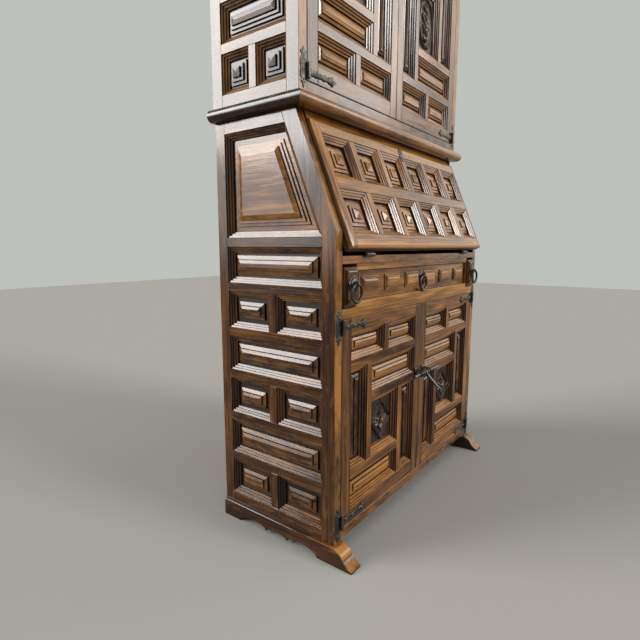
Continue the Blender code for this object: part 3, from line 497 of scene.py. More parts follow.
def leaf(name, members, openings, panels, thickness, matrix, body, tone, rubbed, profile=MOULDING):
    """A frame in its place, and the mesh of its panels, to be placed.

    members are keywords for member and panels are keywords for floating_panel.
    """
    joinery = stock()
    for details in members:
        member(joinery, front=0, back=-thickness, tone=tone, **details)
    for opening in openings:
        moulding_sticks(joinery, opening, profile, tone - 0.2, rubbed)
    joinery.transform(matrix)
    place(f"{name}_joinery", joinery, dark_stain, body, [f"{name}_frame"])
    fields = stock()
    for opening, panel in zip(openings, panels):
        details = {"tone": tone, "rubbed": rubbed[0], **panel}
        floating_panel(fields, opening, 0.002 - thickness, **details)
    fields.transform(matrix)
    return fields


def bar(polygon, along, **more):
    """Keywords for one member of a leaf."""
    return {"polygon": polygon, "along": along, **more}


def framed_sides(prefix, members, openings, panels, thickness, half, tone, rubbed):
    """Both sides of a carcass, whose faces stand half its width from the middle."""
    for name, side in SIDES:
        matrix = basis(Y, Z, X * side, X * side * half)
        work = (members, openings, panels, thickness, matrix, "carcass")
        fields = leaf(f"{prefix}_{name}", *work, tone, rubbed)
        place(f"{prefix}_{name}_fields", fields, dark_stain, "carcass", [f"{prefix}_{name}_panels"])


SIDE_RAIL, SIDE_BAR, small_h = 0.0236, 0.0235, 0.099
lean = (WAIST_Z - KNEE_Z) * tan(SLANT)
side_corners = ((0, FOOT_TOP), (DEPTH, FOOT_TOP), (DEPTH, WAIST_Z), (lean, WAIST_Z), (0, KNEE_Z))
side_outline = [Vector(p) for p in side_corners]
# inside the bottom rail, rear stile, top rail, leaning stile and front stile
side_field = inset(side_outline, [0.032, 0.034, 0.029, 0.041, 0.0394])
(stile, z), (rear, _), (_, top), (lean_in, _), (_, knee) = side_field
lean_top = lean_in + (WAIST_Z - top) * tan(SLANT)
middle = (stile + rear) / 2
wide_h = (knee - z) / 3 - small_h - 2 * SIDE_RAIL
corners = ((0, FOOT_TOP), (stile, FOOT_TOP), (stile, knee), (lean_top, WAIST_Z), (lean, WAIST_Z))
corners += ((0, KNEE_Z), (0, 0.60), (0, 0.46), (0, 0.30))
# the last three points lie on its front edge, which is rubbed most halfway up
bent_stile = [Vector(p) for p in corners]
top_rail = [Vector(p) for p in ((lean_in, top), (rear, top), (rear, WAIST_Z), (lean_top, WAIST_Z))]
side_members = [
    bar(rect(rear, FOOT_TOP, DEPTH, WAIST_Z), Y),
    bar(bent_stile, Y, rubbed={0: 0.1, 4: 0.1, 5: 0.3, 6: 0.25, 7: 0.9, 8: 0.05}),
    bar(top_rail, X),
    bar(rect(stile, FOOT_TOP, rear, z), X),
]
side_openings, side_panels = [], []
for _ in range(3):
    side_openings.append(rect(stile, z, middle - SIDE_BAR / 2, z + small_h))
    side_openings.append(rect(middle + SIDE_BAR / 2, z, rear, z + small_h))
    side_members.append(bar(rect(middle - SIDE_BAR / 2, z, middle + SIDE_BAR / 2, z + small_h), Y))
    z += small_h
    side_members.append(bar(rect(stile, z, rear, z + SIDE_RAIL), X))
    z += SIDE_RAIL
    side_openings.append(rect(stile, z, rear, z + wide_h))
    z += wide_h
    side_members.append(bar(rect(stile, z, rear, z + SIDE_RAIL), X))
    z += SIDE_RAIL
    # the flats are darkened, partly old wax and partly painted shade
    side_panels += [{"flat": 0.011, "steps": fielded, "tone": -0.5, "waxed": -0.5}] * 2
    side_panels.append({"flat": 0.006, "steps": fielded, "waxed": -0.5})
side_openings.append([Vector(p) for p in ((stile, knee), (rear, knee), (rear, top), (lean_in, top))])


def broad_field(half):
    """Two narrow steps and a bevel round a broad flat, alike for any half width."""
    steps = risers(((0.0034, 0.0078, 0.0003), (0.0036, 0.0078, 0.0003), (0.0034, 0.0120, 0.0040)))
    return steps + [(steps[-1][0] + 0.003, steps[-1][1], 0.0)]


# the broad field is toned lighter, partly its stain and partly a painted sheen
side_panels.append({"flat": [0.0125, 0.0130, 0.0155, 0.0135], "steps": broad_field, "tone": 0.7})
side_work = (side_members, side_openings, side_panels, SIDE_T)
framed_sides("side", *side_work, half=WIDTH / 2, tone=0.1, rubbed=(0.1, -0.12))

# Boards inside the base
# Planed boards housed in grooves in the sides. The bottom board and the bed of the desk are stained; the
# shelf, dust board, back boards and the guides that the lopers run in are of a paler wood, oiled.

plain_wood = wood(
    "plain_inner_wood",
    "interior_wood",
    (
        (0.115, 0.058, 0.024),
        (0.180, 0.096, 0.042),
        (0.235, 0.132, 0.060),
        (0.290, 0.170, 0.080),
        (0.360, 0.220, 0.108),
    ),
    rubbed=(0.38, 0.24, 0.12),
    wax=(0.055, 0.028, 0.014),
    roughness=0.5,
)
INNER, BACK_Y, BEHIND_DOORS = 0.4247, 0.3787, 0.0225
BOTTOM_Z, BED_LOW, BED_TOP = 0.054, 0.741, 0.760
FRAME_T, POST_IN, POST_OUT = 0.022, 0.353, 0.363


def board(mesh, low, high, along):
    """A planed board between two corners, with eased edges."""
    member(mesh, rect(low[0], low[1], high[0], high[1]), high[2], low[2], along)


def cross_board(name, node, finish, low, top, front=0.0, half=INNER):
    """A board from side to side that reaches back to the back boards."""
    mesh = stock()
    board(mesh, (-half, front, low), (half, BACK_Y, top), X)
    place(name, mesh, finish, "carcass", [node])


frame_back = FRAME_T + GAP
cross_board("rail_and_bottom_board", "bottom_board", dark_stain, low=BOTTOM_Z, top=0.080)
cross_board("cupboard_shelf_board", "cupboard_shelf", plain_wood, low=0.340, top=0.358, front=BEHIND_DOORS)
cross_board("bed_of_desk", "desk_bed", dark_stain, low=BED_LOW, top=BED_TOP)
dust_size = {"low": 0.638, "top": 0.650, "front": frame_back, "half": POST_IN - GAP}
cross_board("drawer_dust_board", "dust_board", plain_wood, **dust_size)


def slatted_back(name, low, high, node):
    """Upright back boards side by side, with a small bevel along each joint."""
    count = 7
    wide = 2 * INNER / count
    mesh = stock()
    for i in range(count):
        x = -INNER + wide * i
        board(mesh, (x, BACK_Y + GAP, low), (x + wide, DEPTH, high), Z)
    place(name, mesh, plain_wood, "carcass", [node])


slatted_back("back_boards_of_base", BOTTOM_Z, WAIST_Z, "base_back")
guide_low = 0.6275
cheek = (POST_IN, POST_OUT, BED_LOW - GAP)
runner = (POST_OUT, INNER, guide_low + 0.012)
for name, side in SIDES:
    mesh = stock()
    for x0, x1, guide_top in (cheek, runner):
        low, high = sorted((x0 * side, x1 * side))
        board(mesh, (low, frame_back, guide_low), (high, BACK_Y, guide_top), Y)
    place(f"loper_guide_{name}_wood", mesh, plain_wood, "carcass", [f"loper_guide_{name}"])

# Face frame round the drawer
# A rail under the drawer and one over it, with two thin posts between drawer and lopers, all stained.
# The rails are tenoned into the sides, flush with the doors below.

rail_low, rail_top, loper_sill, drawer_head = 0.612, 0.650, 0.6365, 0.725
mesh = stock()
rail = ((-INNER, rail_low), (INNER, rail_low), (INNER, loper_sill), (POST_OUT, loper_sill))
rail += ((POST_OUT, rail_top), (-POST_OUT, rail_top), (-POST_OUT, loper_sill), (-INNER, loper_sill))
member(mesh, [Vector(p) for p in rail], 0, -FRAME_T, X, 1.0, rubbed={4: 0.75, 5: 0.75})
member(mesh, rect(-POST_OUT, drawer_head, POST_OUT, BED_LOW - GAP), 0, -FRAME_T, X, 1.05)
for x0, x1 in ((-POST_OUT, -POST_IN), (POST_IN, POST_OUT)):
    member(mesh, rect(x0, rail_top, x1, drawer_head), 0, -FRAME_T, Y)
mesh.transform(basis(X, Z, -Y))
place("drawer_face_frame", mesh, dark_stain, "carcass", ["front_frame"])

# Pigeonhole rack
# Thin planed boards of the paler wood stand on the bed behind the fall, let into one another as an
# open rack for letters, with eased edges.

mesh = stock()
rack_t, rack_low, rack_h, rack_front = 0.010, BED_TOP + GAP, 0.235, 0.215
cell_w = (2 * INNER - 4 * rack_t) / 3
cell_h = (rack_h - 3 * rack_t) / 2
for row in range(3):
    z = rack_low + row * (cell_h + rack_t)
    board(mesh, (-INNER, rack_front, z), (INNER, BACK_Y, z + rack_t), X)
for row in range(2):
    z = rack_low + rack_t + row * (cell_h + rack_t)
    for column in range(4):
        x = -INNER + column * (cell_w + rack_t)
        board(mesh, (x, rack_front, z), (x + rack_t, BACK_Y, z + cell_h), Y)
place("letter_rack", mesh, plain_wood, "carcass", ["pigeonhole_rack"])

# Fixed rail above the fall
# A stained rail tenoned between the leaning stiles, which closes the slope above the fall and carries
# the waist board.

FALL_AXIS = Vector((0, -0.0065, 0.7625))
ALONG_FALL = Vector((0, sin(SLANT), cos(SLANT)))
OUT_OF_FALL = Vector((0, -cos(SLANT), sin(SLANT)))
rail_w, fall_clear = 0.0314, 0.0015
fall_end = (WAIST_Z - FALL_AXIS.z) / cos(SLANT) - rail_w
rail_front = OUT_OF_FALL.dot(Vector((0, 0, KNEE_Z)) - FALL_AXIS)
rail_faces = (rail_front - FRAME_T, rail_front)
rail_foot = FALL_AXIS + ALONG_FALL * (fall_end + fall_clear)
section = [rail_foot + OUT_OF_FALL * depth for depth in rail_faces]
for depth in reversed(rail_faces):
    start = FALL_AXIS + OUT_OF_FALL * depth
    section.append(start + ALONG_FALL * ((WAIST_Z - GAP - start.z) / ALONG_FALL.z))
mesh = stock()
# toned lighter as painted light, since the nosing above shades it
member(mesh, [Vector((p.y, p.z)) for p in section], INNER, -INNER, Z, 1.6)
mesh.transform(basis(Y, Z, X))
place("slope_rail", mesh, dark_stain, "carcass", ["slant_top_rail"])

# Waist board and cornice
# Two stained boards with a half-round nosing, mitred at the front corners: one lies on the base and
# carries the upper cabinet, the other closes the top. They are screwed down from inside.

UPPER_W, UPPER_Y, OVERHANG = 0.910, 0.1023, 0.022
WAIST_TOP, UPPER_TOP, TOP = 1.1291, 1.7650, 1.7980


def nosed_board(name, low, high, node):
    """A board of three planks in a half-round edging on its front and sides."""
    half = UPPER_W / 2 + OVERHANG
    outline = rect(-half, UPPER_Y - OVERHANG, half, DEPTH)
    radius = (high - low) / 2
    nose = []
    for i in range(17):
        turn = pi * i / 16
        nose.append((radius * (1 - sin(turn)), low + radius * (1 + cos(turn)), sin(turn)))
    core = radius + 0.012
    nose += [(core, low, 0.0), (core, high, 0.0)]
    mesh = stock()
    rings = [(inset(outline, [back, back, 0, back]), height, rubbing_and_light) for back, height, rubbing_and_light in nose]
    # the side runs of the nosing are toned darker than the front as painted shade
    for i, j, along, tone, share in ((0, 1, X, 0.7, 0.3), (1, 2, Y, -1.1, 0.0), (3, 0, Y, -1.1, 0.0)):
        ends = [[(Vector((*ring[k], height)), share * rubbing_and_light) for ring, height, rubbing_and_light in rings] for k in (i, j)]
        shell(mesh, ends, along, tone)
    inner = inset(outline, [core, core, 0, core])
    plank_w = (inner[2].y - inner[0].y) / 3
    for k in range(3):
        y0 = inner[0].y + plank_w * k
        member(mesh, rect(inner[0].x, y0, inner[1].x, y0 + plank_w), high, low, X)
    place(name, mesh, dark_stain, "carcass", [node], smooth=28)


nosed_board("waist_nosing", WAIST_Z + GAP, WAIST_TOP, "waist_board")
nosed_board("cornice_nosing", UPPER_TOP + GAP, TOP, "cornice")

# Upper cabinet
# Framed sides like those of the base, with stepped fields darkened in their corners, partly with wax and
# partly as painted shade, and a stained floor and ceiling between them. The shelf and the back boards are of
# the paler wood.

UPPER_Z, UPPER_SIDE_T = WAIST_TOP + GAP, 0.030
upper_stile, upper_rail, upper_small = 0.036, 0.031, 0.097
y0, y1 = UPPER_Y + upper_stile, DEPTH - upper_stile
middle = (y0 + y1) / 2
wide_h = (UPPER_TOP - UPPER_Z - 2 * upper_rail - 4 * SIDE_RAIL - 3 * upper_small) / 2
upper_members = [
    bar(rect(UPPER_Y, UPPER_Z, y0, UPPER_TOP), Y, rubbed={0: 0.4, 3: 0.4}),
    bar(rect(y1, UPPER_Z, DEPTH, UPPER_TOP), Y),
    bar(rect(y0, UPPER_Z, y1, UPPER_Z + upper_rail), X),
    bar(rect(y0, UPPER_TOP - upper_rail, y1, UPPER_TOP), X),
]
upper_openings, upper_panels = [], []
upper_steps = partial(stepped_pyramid, rise=0.0020, taller=0.0016)
# the fields are darkened and dulled all over, partly as wax and partly as painted shade in the deep openings
small_field = {"flat": 0.005, "steps": upper_steps, "rubbed": -0.6, "waxed": -0.6}
wide_field = {"flat": 0.006, "steps": upper_steps, "rubbed": -0.4, "waxed": -0.4}
z = UPPER_Z + upper_rail
for row in range(5):
    if row % 2:
        upper_openings.append(rect(y0, z, y1, z + wide_h))
        upper_panels.append(wide_field)
        z += wide_h
    else:
        for u0, u1 in ((y0, middle - SIDE_BAR / 2), (middle + SIDE_BAR / 2, y1)):
            upper_openings.append(rect(u0, z, u1, z + upper_small))
            upper_panels.append(small_field)
        upper_members.append(bar(rect(middle - SIDE_BAR / 2, z, middle + SIDE_BAR / 2, z + upper_small), Y))
        z += upper_small
    if row < 4:
        upper_members.append(bar(rect(y0, z, y1, z + SIDE_RAIL), X))
        z += SIDE_RAIL
upper_work = (upper_members, upper_openings, upper_panels, UPPER_SIDE_T)
framed_sides("upper_side", *upper_work, half=UPPER_W / 2, tone=0.0, rubbed=(0.3, 0.4))
cross_board("upper_floor_board", "upper_floor", dark_stain, low=UPPER_Z, top=1.155, front=UPPER_Y)
shelf_front = UPPER_Y + BEHIND_DOORS
cross_board("upper_shelf_board", "upper_shelf", plain_wood, low=1.445, top=1.463, front=shelf_front)
cross_board("upper_ceiling_board", "upper_ceiling", dark_stain, low=1.740, top=UPPER_TOP, front=UPPER_Y)
slatted_back("back_boards_of_cabinet", UPPER_Z, UPPER_TOP, "upper_back")

# Fall
# The slanted writing flap: a stained frame of rails and short bars round two rows of square openings,
# each with a stepped pyramid. Its outer edge is rounded over, and butt hinges join it to the bed.

EDGE = 0.4235
fall_t, fall_foot, fall_seat = 0.026, 0.007, 0.0025
fall_outline = rect(-EDGE, fall_foot, EDGE, fall_end)
low, _, high, _ = inset(fall_outline, [0.0345, 0.023, 0.0365, 0.023])
FALL_BAR, mid_rail = 0.0225, 0.030
cell_w = (high.x - low.x - 5 * FALL_BAR) / 6
cell_h = (high.y - low.y - mid_rail) / 2
fall_members = [
    bar(rect(-EDGE, fall_foot, low.x, fall_end), Y, nosed=(0, 2, 3)),
    bar(rect(high.x, fall_foot, EDGE, fall_end), Y, nosed=(0, 1, 2)),
    # the bottom rail's rounded edge is lighter, partly rubbing and partly a painted highlight
    bar(rect(low.x, fall_foot, high.x, low.y), X, nosed=(0,), rubbed={0: 0.75, 1: 0.75}),
    bar(rect(low.x, high.y, high.x, fall_end), X, nosed=(2,)),
    bar(rect(low.x, low.y + cell_h, high.x, high.y - cell_h), X),
]
fall_openings, fall_panels = [], []
for column in range(6):
    u = low.x + column * (cell_w + FALL_BAR)
    for v in (low.y, high.y - cell_h):
        fall_openings.append(rect(u, v, u + cell_w, v + cell_h))
        fall_panels.append({"flat": 0.009, "steps": stepped_pyramid})
        if column < 5:
            fall_members.append(bar(rect(u + cell_w, v, u + cell_w + FALL_BAR, v + cell_h), Y))
fall_face = basis(X, ALONG_FALL, OUT_OF_FALL, FALL_AXIS + OUT_OF_FALL * (fall_seat + fall_t))
fall_bands = ((0.0014, 0.0048, 0.0037), (0.0016, 0.0098, 0.0077), (0.0016, 0.0150, 0.0118))
fall_profile = banded(fall_bands, ledge=0.0010, rubbing_and_light=0.1, foot=0.0145)
fall_work = (fall_members, fall_openings, fall_panels, fall_t, fall_face, "fall")
panels = leaf("fall", *fall_work, 0.95, (0.2, 0.0), fall_profile)
place("fall_fields", panels, dark_stain, "fall", ["fall_panels"])

# Forged iron
# The hinges, plates, pulls and bolt are wrought iron: hammered to shape, blackened, and rubbed grey on
# their edges. They are nailed on with domed nails.

forged = bpy.data.materials.new("forged_iron")
forged["slot"] = "wrought_iron"
forged.use_nodes = True
tree = forged.node_tree
shader = tree.nodes["Principled BSDF"]
spot = carried(tree, "grain", "Vector")
wear_and_painted_light = {"Wear_and_light": carried(tree, "wear_and_painted_light", "Fac"), "Place": spot}
rubbing_and_light = add_node(tree, "ShaderNodeGroup", wear_and_painted_light, node_tree=rubbing).outputs
blotch = stretched_noise(tree, spot, (60, 60, 60), 3, 0.2)
dents = stretched_noise(tree, spot, (210, 210, 210), 1, 0.0)
ramp = add_node(tree, "ShaderNodeValToRGB", {"Fac": blotch})
ramp.color_ramp.elements[0].position = 0.35
ramp.color_ramp.elements[0].color = (0.024, 0.023, 0.021, 1)
ramp.color_ramp.elements[1].position = 0.7
ramp.color_ramp.elements[1].color = (0.070, 0.066, 0.060, 1)
# As on the wood, the lighter and the black places are partly real rubbing and blacking, partly painted
# highlight and painted shade.
bared_and_highlit = maths(tree, "MULTIPLY", rubbing_and_light["Rubbed"], 0.4)
colour = blended(tree, bared_and_highlit, ramp.outputs["Color"], (0.30, 0.29, 0.27, 1))
colour = blended(tree, rubbing_and_light["Waxed"], colour, (0.004, 0.0035, 0.003, 1))
tree.links.new(colour, shader.inputs["Base Color"])
tree.links.new(spread(tree, blotch, 0.3, 0.7, 0.42, 0.28), shader.inputs["Roughness"])
bump = add_node(tree, "ShaderNodeBump", {"Height": dents, "Strength": 0.35, "Distance": 0.0008})
tree.links.new(bump.outputs["Normal"], shader.inputs["Normal"])
shader.inputs["Metallic"].default_value = 0.9


def join(mesh, part):
    """Take a finished part into a mesh that carries the same layers."""
    data = bpy.data.meshes.new("part")
    part.to_mesh(data)
    part.free()
    mesh.from_mesh(data)
    bpy.data.meshes.remove(data)


def beaten(mesh, polygon, front, back, matrix):
    """A flat forging with its front edge hammered round."""
    # the rounded front rim is lighter as rubbing; the cut sides are black, partly blacking and partly a
    # painted shadow line round the plate
    skins = ((0.0012, front, 0.1), (0.0005, front - 0.0002, 0.75), (0, front - 0.0008, -0.5), (0, back, -1.0))
    part = stock()
    shell(part, [level(inset(polygon, by), height, rubbing_and_light) for by, height, rubbing_and_light in skins], X)
    part.transform(matrix)
    join(mesh, part)


def round_loop(middle, first, second, sides, rubbing_and_light):
    """A loop for shell round a point, from two of its radii."""
    loop = []
    for k in range(sides):
        turn = 2 * pi * k / sides
        loop.append((middle + first * cos(turn) + second * sin(turn), rubbing_and_light))
    return loop


def turned(mesh, axis_from, axis, profile, sides, rubbing_and_light):
    """A round piece on an axis: profile is (distance along, radius)."""
    across = axis.orthogonal().normalized()
    up = axis.cross(across)
    loops = []
    for along, radius in profile:
        loops.append(round_loop(axis_from + axis * along, across * radius, up * radius, sides, rubbing_and_light))
    shell(mesh, loops, axis)


def nail(mesh, at, out, radius=0.0034):
    """A domed nail head on a face that looks out."""
    dome = [(-0.0006, radius), (0.0002, radius), (0.0011, radius * 0.8), (0.0016, radius * 0.35)]
    turned(mesh, at, out, dome, 12, 0.7)


def knuckles(mesh, start, axis, length, radius, count=5):
    """A hinge barrel with its joints and a pin head at both ends."""
    tip, pin, joint = 0.45 * radius, 0.75 * radius, 0.86 * radius
    profile = [(-0.002, tip), (-0.0015, pin), (0, pin)]
    for k in range(count):
        a, b = length * k / count, length * (k + 1) / count
        profile += [(a + 0.0002, joint), (a + 0.0006, radius), (b - 0.0006, radius), (b - 0.0002, joint)]
    profile += [(length, pin), (length + 0.0015, pin), (length + 0.002, tip)]
    turned(mesh, start, axis, profile, 20, 0.35)


# Hinges and keyhole plate of the fall
# Two wrought butt hinges under the fall have their leaves screwed to its inner face. The keyhole plate
# on the top rail is a small cut iron shield held by two nails.

butt_x, butt_l, butt_r = 0.3175, 0.039, 0.0064
butt_leaf = rect(-0.020, 0.003, 0.020, 0.028)
for name, side in SIDES:
    mesh = stock()
    middle = FALL_AXIS + X * side * butt_x
    knuckles(mesh, middle - X * butt_l / 2, X, butt_l, butt_r, 3)
    beaten(mesh, butt_leaf, 0.0022, 0.0007, basis(X, ALONG_FALL, OUT_OF_FALL, middle))
    place(f"fall_butt_{name}", mesh, forged, "fall", [f"fall_hinge_{name}"], smooth=40)


def mirrored(half, tall=1.0):
    """A closed outline from the points of its right half, which starts and ends on the middle line."""
    right = [Vector((u, v * tall)) for u, v in half]
    return right + [Vector((-p.x, p.y)) for p in reversed(right[1:-1])]


mesh = stock()
plate_t, painted_hole_r = 0.0016, 0.0032
shield = ((0.0, -0.027), (0.006, -0.017), (0.0125, -0.013), (0.0105, -0.003), (0.0125, 0.006))
shield += ((0.0085, 0.011), (0.004, 0.012), (0.0, 0.020))
shield_at = fall_face @ Vector((0, fall_end - 0.024, 0))
beaten(mesh, mirrored(shield), plate_t, 0.0001, basis(X, ALONG_FALL, OUT_OF_FALL, shield_at))
for v in (-0.019, 0.013):
    nail(mesh, shield_at + ALONG_FALL * v + OUT_OF_FALL * plate_t, OUT_OF_FALL, 0.0021)
# the keyhole is no hole: a black disc on the plate is painted shade that stands for it
painted_hole_at = shield_at + ALONG_FALL * 0.001 + OUT_OF_FALL * 0.0012
turned(mesh, painted_hole_at, OUT_OF_FALL, [(0, painted_hole_r), (0.0008, painted_hole_r - 0.0002)], 14, -1.0)
place("fall_keyhole_plate", mesh, forged, "fall", smooth=40)

# Drawer
# A stained front with a row of applied raised blocks, on a dovetailed box of the paler wood. The iron
# ring hangs in an eye on a small rosette between the middle blocks.

DRAWER_HALF, DRAWER_FACE = 0.352, 0.007
drawer_low, drawer_top, drawer_t = 0.6505, 0.7235, 0.018
block_low, block_top, block_gap, blocks = 0.6655, 0.7095, 0.033, 6
mesh = stock()
member(mesh, rect(-DRAWER_HALF, drawer_low, DRAWER_HALF, drawer_top), 0, -drawer_t, X, 1.15)
pitch = 2 * DRAWER_HALF / blocks
for i in range(blocks):
    u = -DRAWER_HALF + i * pitch
    block = rect(u + block_gap / 2, block_low, u + pitch - block_gap / 2, block_top)
    steps = risers(((0.0026, 0.0034, 0.0002), (0.0020, 0.0030, 0.0002), (0.0008, 0.0050, 0.0016)), 0.0008)
    steps = [(by, up + 0.0001, rubbing_and_light) for by, up, rubbing_and_light in steps] + [(0.015, 0.0076, 0.0)]
    shell(mesh, [level(inset(block, by), up, rubbing_and_light) for by, up, rubbing_and_light in steps], X, 1.2)
mesh.transform(basis(X, Z, -Y, Y * DRAWER_FACE))
place("drawer_front_board", mesh, dark_stain, "drawer", ["drawer_front"])
mesh = stock()
box_front, box_back, box_top, box_t, box_floor = DRAWER_FACE + drawer_t + GAP, 0.345, 0.7135, 0.010, 0.006
inside = DRAWER_HALF - box_t
for x0, x1 in ((-DRAWER_HALF, -inside), (inside, DRAWER_HALF)):
    board(mesh, (x0, box_front, drawer_low), (x1, box_back, box_top), Y)
for y in (box_front, box_back - box_t):
    board(mesh, (-inside, y, drawer_low), (inside, y + box_t, box_top), X)
floor_end = (inside, box_back - box_t, drawer_low + box_floor)
board(mesh, (-inside, box_front + box_t, drawer_low), floor_end, X)
place("drawer_tray", mesh, plain_wood, "drawer", ["drawer_box"])

PULL_Z, pivot_out = 0.695, 0.011
eye_r, eye_thick, eye_wide = 0.0054, 0.0013, 0.0024
ring_r, ring_thin, ring_swell = 0.0215, 0.0032, 0.0007
# out, share of the radius, depth of the scallops and wear
rosette = ((0, 1, 0.10, -0.6), (0.0022, 1, 0.10, 0.4), (0.0032, 0.86, 0.08, 0.1), (0.0030, 0.64, 0, -0.8))
rosette += ((0.0046, 0.52, 0, 0.5), (0.0050, 0.3, 0, 0.2))


def ring_pull(name, x, face_y, radius, body):
    """A scalloped iron rosette with an eye, and the forged ring that hangs in it."""
    mesh = stock()
    back = Vector((x, face_y - GAP, PULL_Z))
    loops = []
    for out, share, scallop, rubbing_and_light in rosette:
        ring = []
        for k in range(64):
            turn = 2 * pi * k / 64
            r = radius * share * (1 - scallop * (1 - abs(cos(4 * turn))))
            ring.append((back + Vector((r * cos(turn), -out, r * sin(turn))), rubbing_and_light))
        loops.append(ring)
    shell(mesh, loops, X)
    pivot = back - Y * pivot_out
    loops = []
    for k in range(20):
        turn = 2 * pi * k / 20
        out = Y * cos(turn) + Z * sin(turn)
        loops.append(round_loop(pivot + out * eye_r, out * eye_thick, X * eye_wide, 10, 0.4))
    shell(mesh, loops, X, ends=False)
    place(f"{name}_rosette", mesh, forged, body, [f"{name}_plate"], smooth=40)
    mesh = stock()
    loops = []
    for k in range(48):
        turn = 2 * pi * k / 48
        out = X * sin(turn) + Z * cos(turn)
        down = (1 - cos(turn)) / 2
        thick = ring_thin + ring_swell * down
        loops.append(round_loop(pivot + (out - Z) * ring_r, out * thick, Y * thick, 12, 0.2 * down))
    shell(mesh, loops, X, ends=False)
    ring_body = f"{name.removesuffix('_pull')}_ring"
    place(f"{name}_forged_ring", mesh, forged, ring_body, [f"{name}_ring"], smooth=60)


ring_pull("drawer_pull", 0, DRAWER_FACE, 0.0155, "drawer")

# Lopers
# Two bars beside the drawer pull out to carry the open fall. Each has a moulded block on its end, with
# a ring pull like the drawer's.

loper_in, loper_out, loper_low, loper_top, loper_l, block_out = 0.3665, 0.4215, 0.640, 0.7335, 0.340, 0.010
# inwards, out and wear of the block's steps, whose black risers are partly wax and partly painted shade
loper_steps = ((0, 0.0001, 0.0), (0, 0.0030, 0.3), (0.0028, 0.0031, -0.9), (0.0031, 0.0050, 0.4))
loper_steps += ((0.0056, 0.0051, -0.9), (0.0059, 0.0072, 0.4), (0.0082, 0.0073, -0.9), (0.0085, 0.0094, 0.3))
loper_steps += ((0.0105, block_out, 0.3), (0.013, block_out, 0))
end = rect(loper_in, loper_low, loper_out, loper_top)
for name, side in SIDES:
    mesh = stock()
    member(mesh, end, 0.0, -loper_l, Z)
    shell(mesh, [level(inset(end, by), up, rubbing_and_light) for by, up, rubbing_and_light in loper_steps], Y, 0.1)
    mesh.transform(basis(X * side, Z, -Y))
    place(f"loper_bar_{name}", mesh, dark_stain, f"loper_{name}", [f"loper_{name}"])
    ring_pull(f"loper_{name}_pull", side * (loper_in + loper_out) / 2, -block_out, 0.0205, f"loper_{name}")

# Lower doors
# Two inset doors, each a stained frame with a pinwheel of fielded panels round a carved lozenge, under
# a pair of small panels. Forged straps with fleur ends are nailed on and turn on barrels at the edge.

DOOR_T, DOOR_BAR, TALL_W, BAND_H = 0.022, 0.0225, 0.077, 0.079
HINGE_STILE, MEETING_STILE = 0.040, 0.036
DOOR_W = EDGE - 0.00075
HINGE_X, HINGE_OUT, JAMB_X = 0.42425, 0.005, 0.4382


def door_leaf(height, pair_low, pair_high, wheel_low, wheel_high):
    """Members and openings of a door; u runs from the hinge, and the last opening is the carved one."""
    u0, u1 = HINGE_STILE, DOOR_W - MEETING_STILE
    middle = (u0 + u1) / 2
    left, right = u0 + TALL_W, u1 - TALL_W
    low, high = wheel_low + BAND_H, wheel_high - BAND_H
    bottom, top = min(pair_low, wheel_low), max(pair_high, wheel_high)
    between = sorted((pair_low, pair_high, wheel_low, wheel_high))[1:3]
    members = [
        bar(rect(0, 0, u0, height), Y),
        bar(rect(u1, 0, DOOR_W, height), Y),
        bar(rect(u0, 0, u1, bottom), X),
        bar(rect(u0, top, u1, height), X),
        bar(rect(u0, between[0], u1, between[1]), X),
        bar(rect(middle - DOOR_BAR / 2, pair_low, middle + DOOR_BAR / 2, pair_high), Y),
        bar(rect(left, low + DOOR_BAR, left + DOOR_BAR, wheel_high), Y),
        bar(rect(left + DOOR_BAR, high - DOOR_BAR, u1, high), X),
        bar(rect(right - DOOR_BAR, wheel_low, right, high - DOOR_BAR), Y),
        bar(rect(u0, low, right - DOOR_BAR, low + DOOR_BAR), X),
    ]
    openings = [
        rect(u0, pair_low, middle - DOOR_BAR / 2, pair_high),
        rect(middle + DOOR_BAR / 2, pair_low, u1, pair_high),
        rect(u0, low + DOOR_BAR, left, wheel_high),
        rect(left + DOOR_BAR, high, u1, wheel_high),
        rect(right, wheel_low, u1, high - DOOR_BAR),
        rect(u0, wheel_low, right - DOOR_BAR, low),
        rect(left + DOOR_BAR, low + DOOR_BAR, right - DOOR_BAR, high - DOOR_BAR),
    ]
    return members, openings


def carved(opening, relief, rise, across=56, up=66):
    """The mesh of a carved field on the flat of its panel; relief gives 0 to 1 over -1 to 1 each way."""
    field = inset(opening, MOULD_W + 0.004)
    centre = (field[0] + field[2]) / 2
    half = (field[2] - field[0]) / 2
    lowest = PANEL_Z + 0.0004
    part = stock()
    layers = part.verts.layers
    grid = []
    for j in range(up + 1):
        row = []
        for i in range(across + 1):
            s, t = 2 * i / across - 1, 2 * j / up - 1
            height = relief(s, t)
            vert = part.verts.new((centre.x + half.x * s, centre.y + half.y * t, lowest + rise * height))
            vert[layers.float_vector["grain"]] = Vector((vert.co.y + 3, vert.co.x, vert.co.z))
            # darker in its hollows and lighter on its tops: partly wax and rubbing, partly painted shade and
            # painted highlight
            vert[layers.float["wear_and_painted_light"]] = -0.85 + 1.35 * height
            vert[layers.float["tone"]] = -0.4
            row.append(vert)
        grid.append(row)
    for first, second in zip(grid, grid[1:]):
        for i in range(across):
            part.faces.new((first[i], first[i + 1], second[i + 1], second[i]))
    rim = grid[0] + [row[-1] for row in grid[1:]] + grid[-1][-2::-1] + [row[0] for row in grid[-2:0:-1]]
    foot = []
    for vert in rim:
        below = part.verts.new((vert.co.x, vert.co.y, PANEL_Z))
        below[layers.float["wear_and_painted_light"]] = -1.0
        foot.append(below)
    for i in range(len(rim)):
        j = (i + 1) % len(rim)
        part.faces.new((rim[i], rim[j], foot[j], foot[i]))
    part.faces.new(foot)
    return part


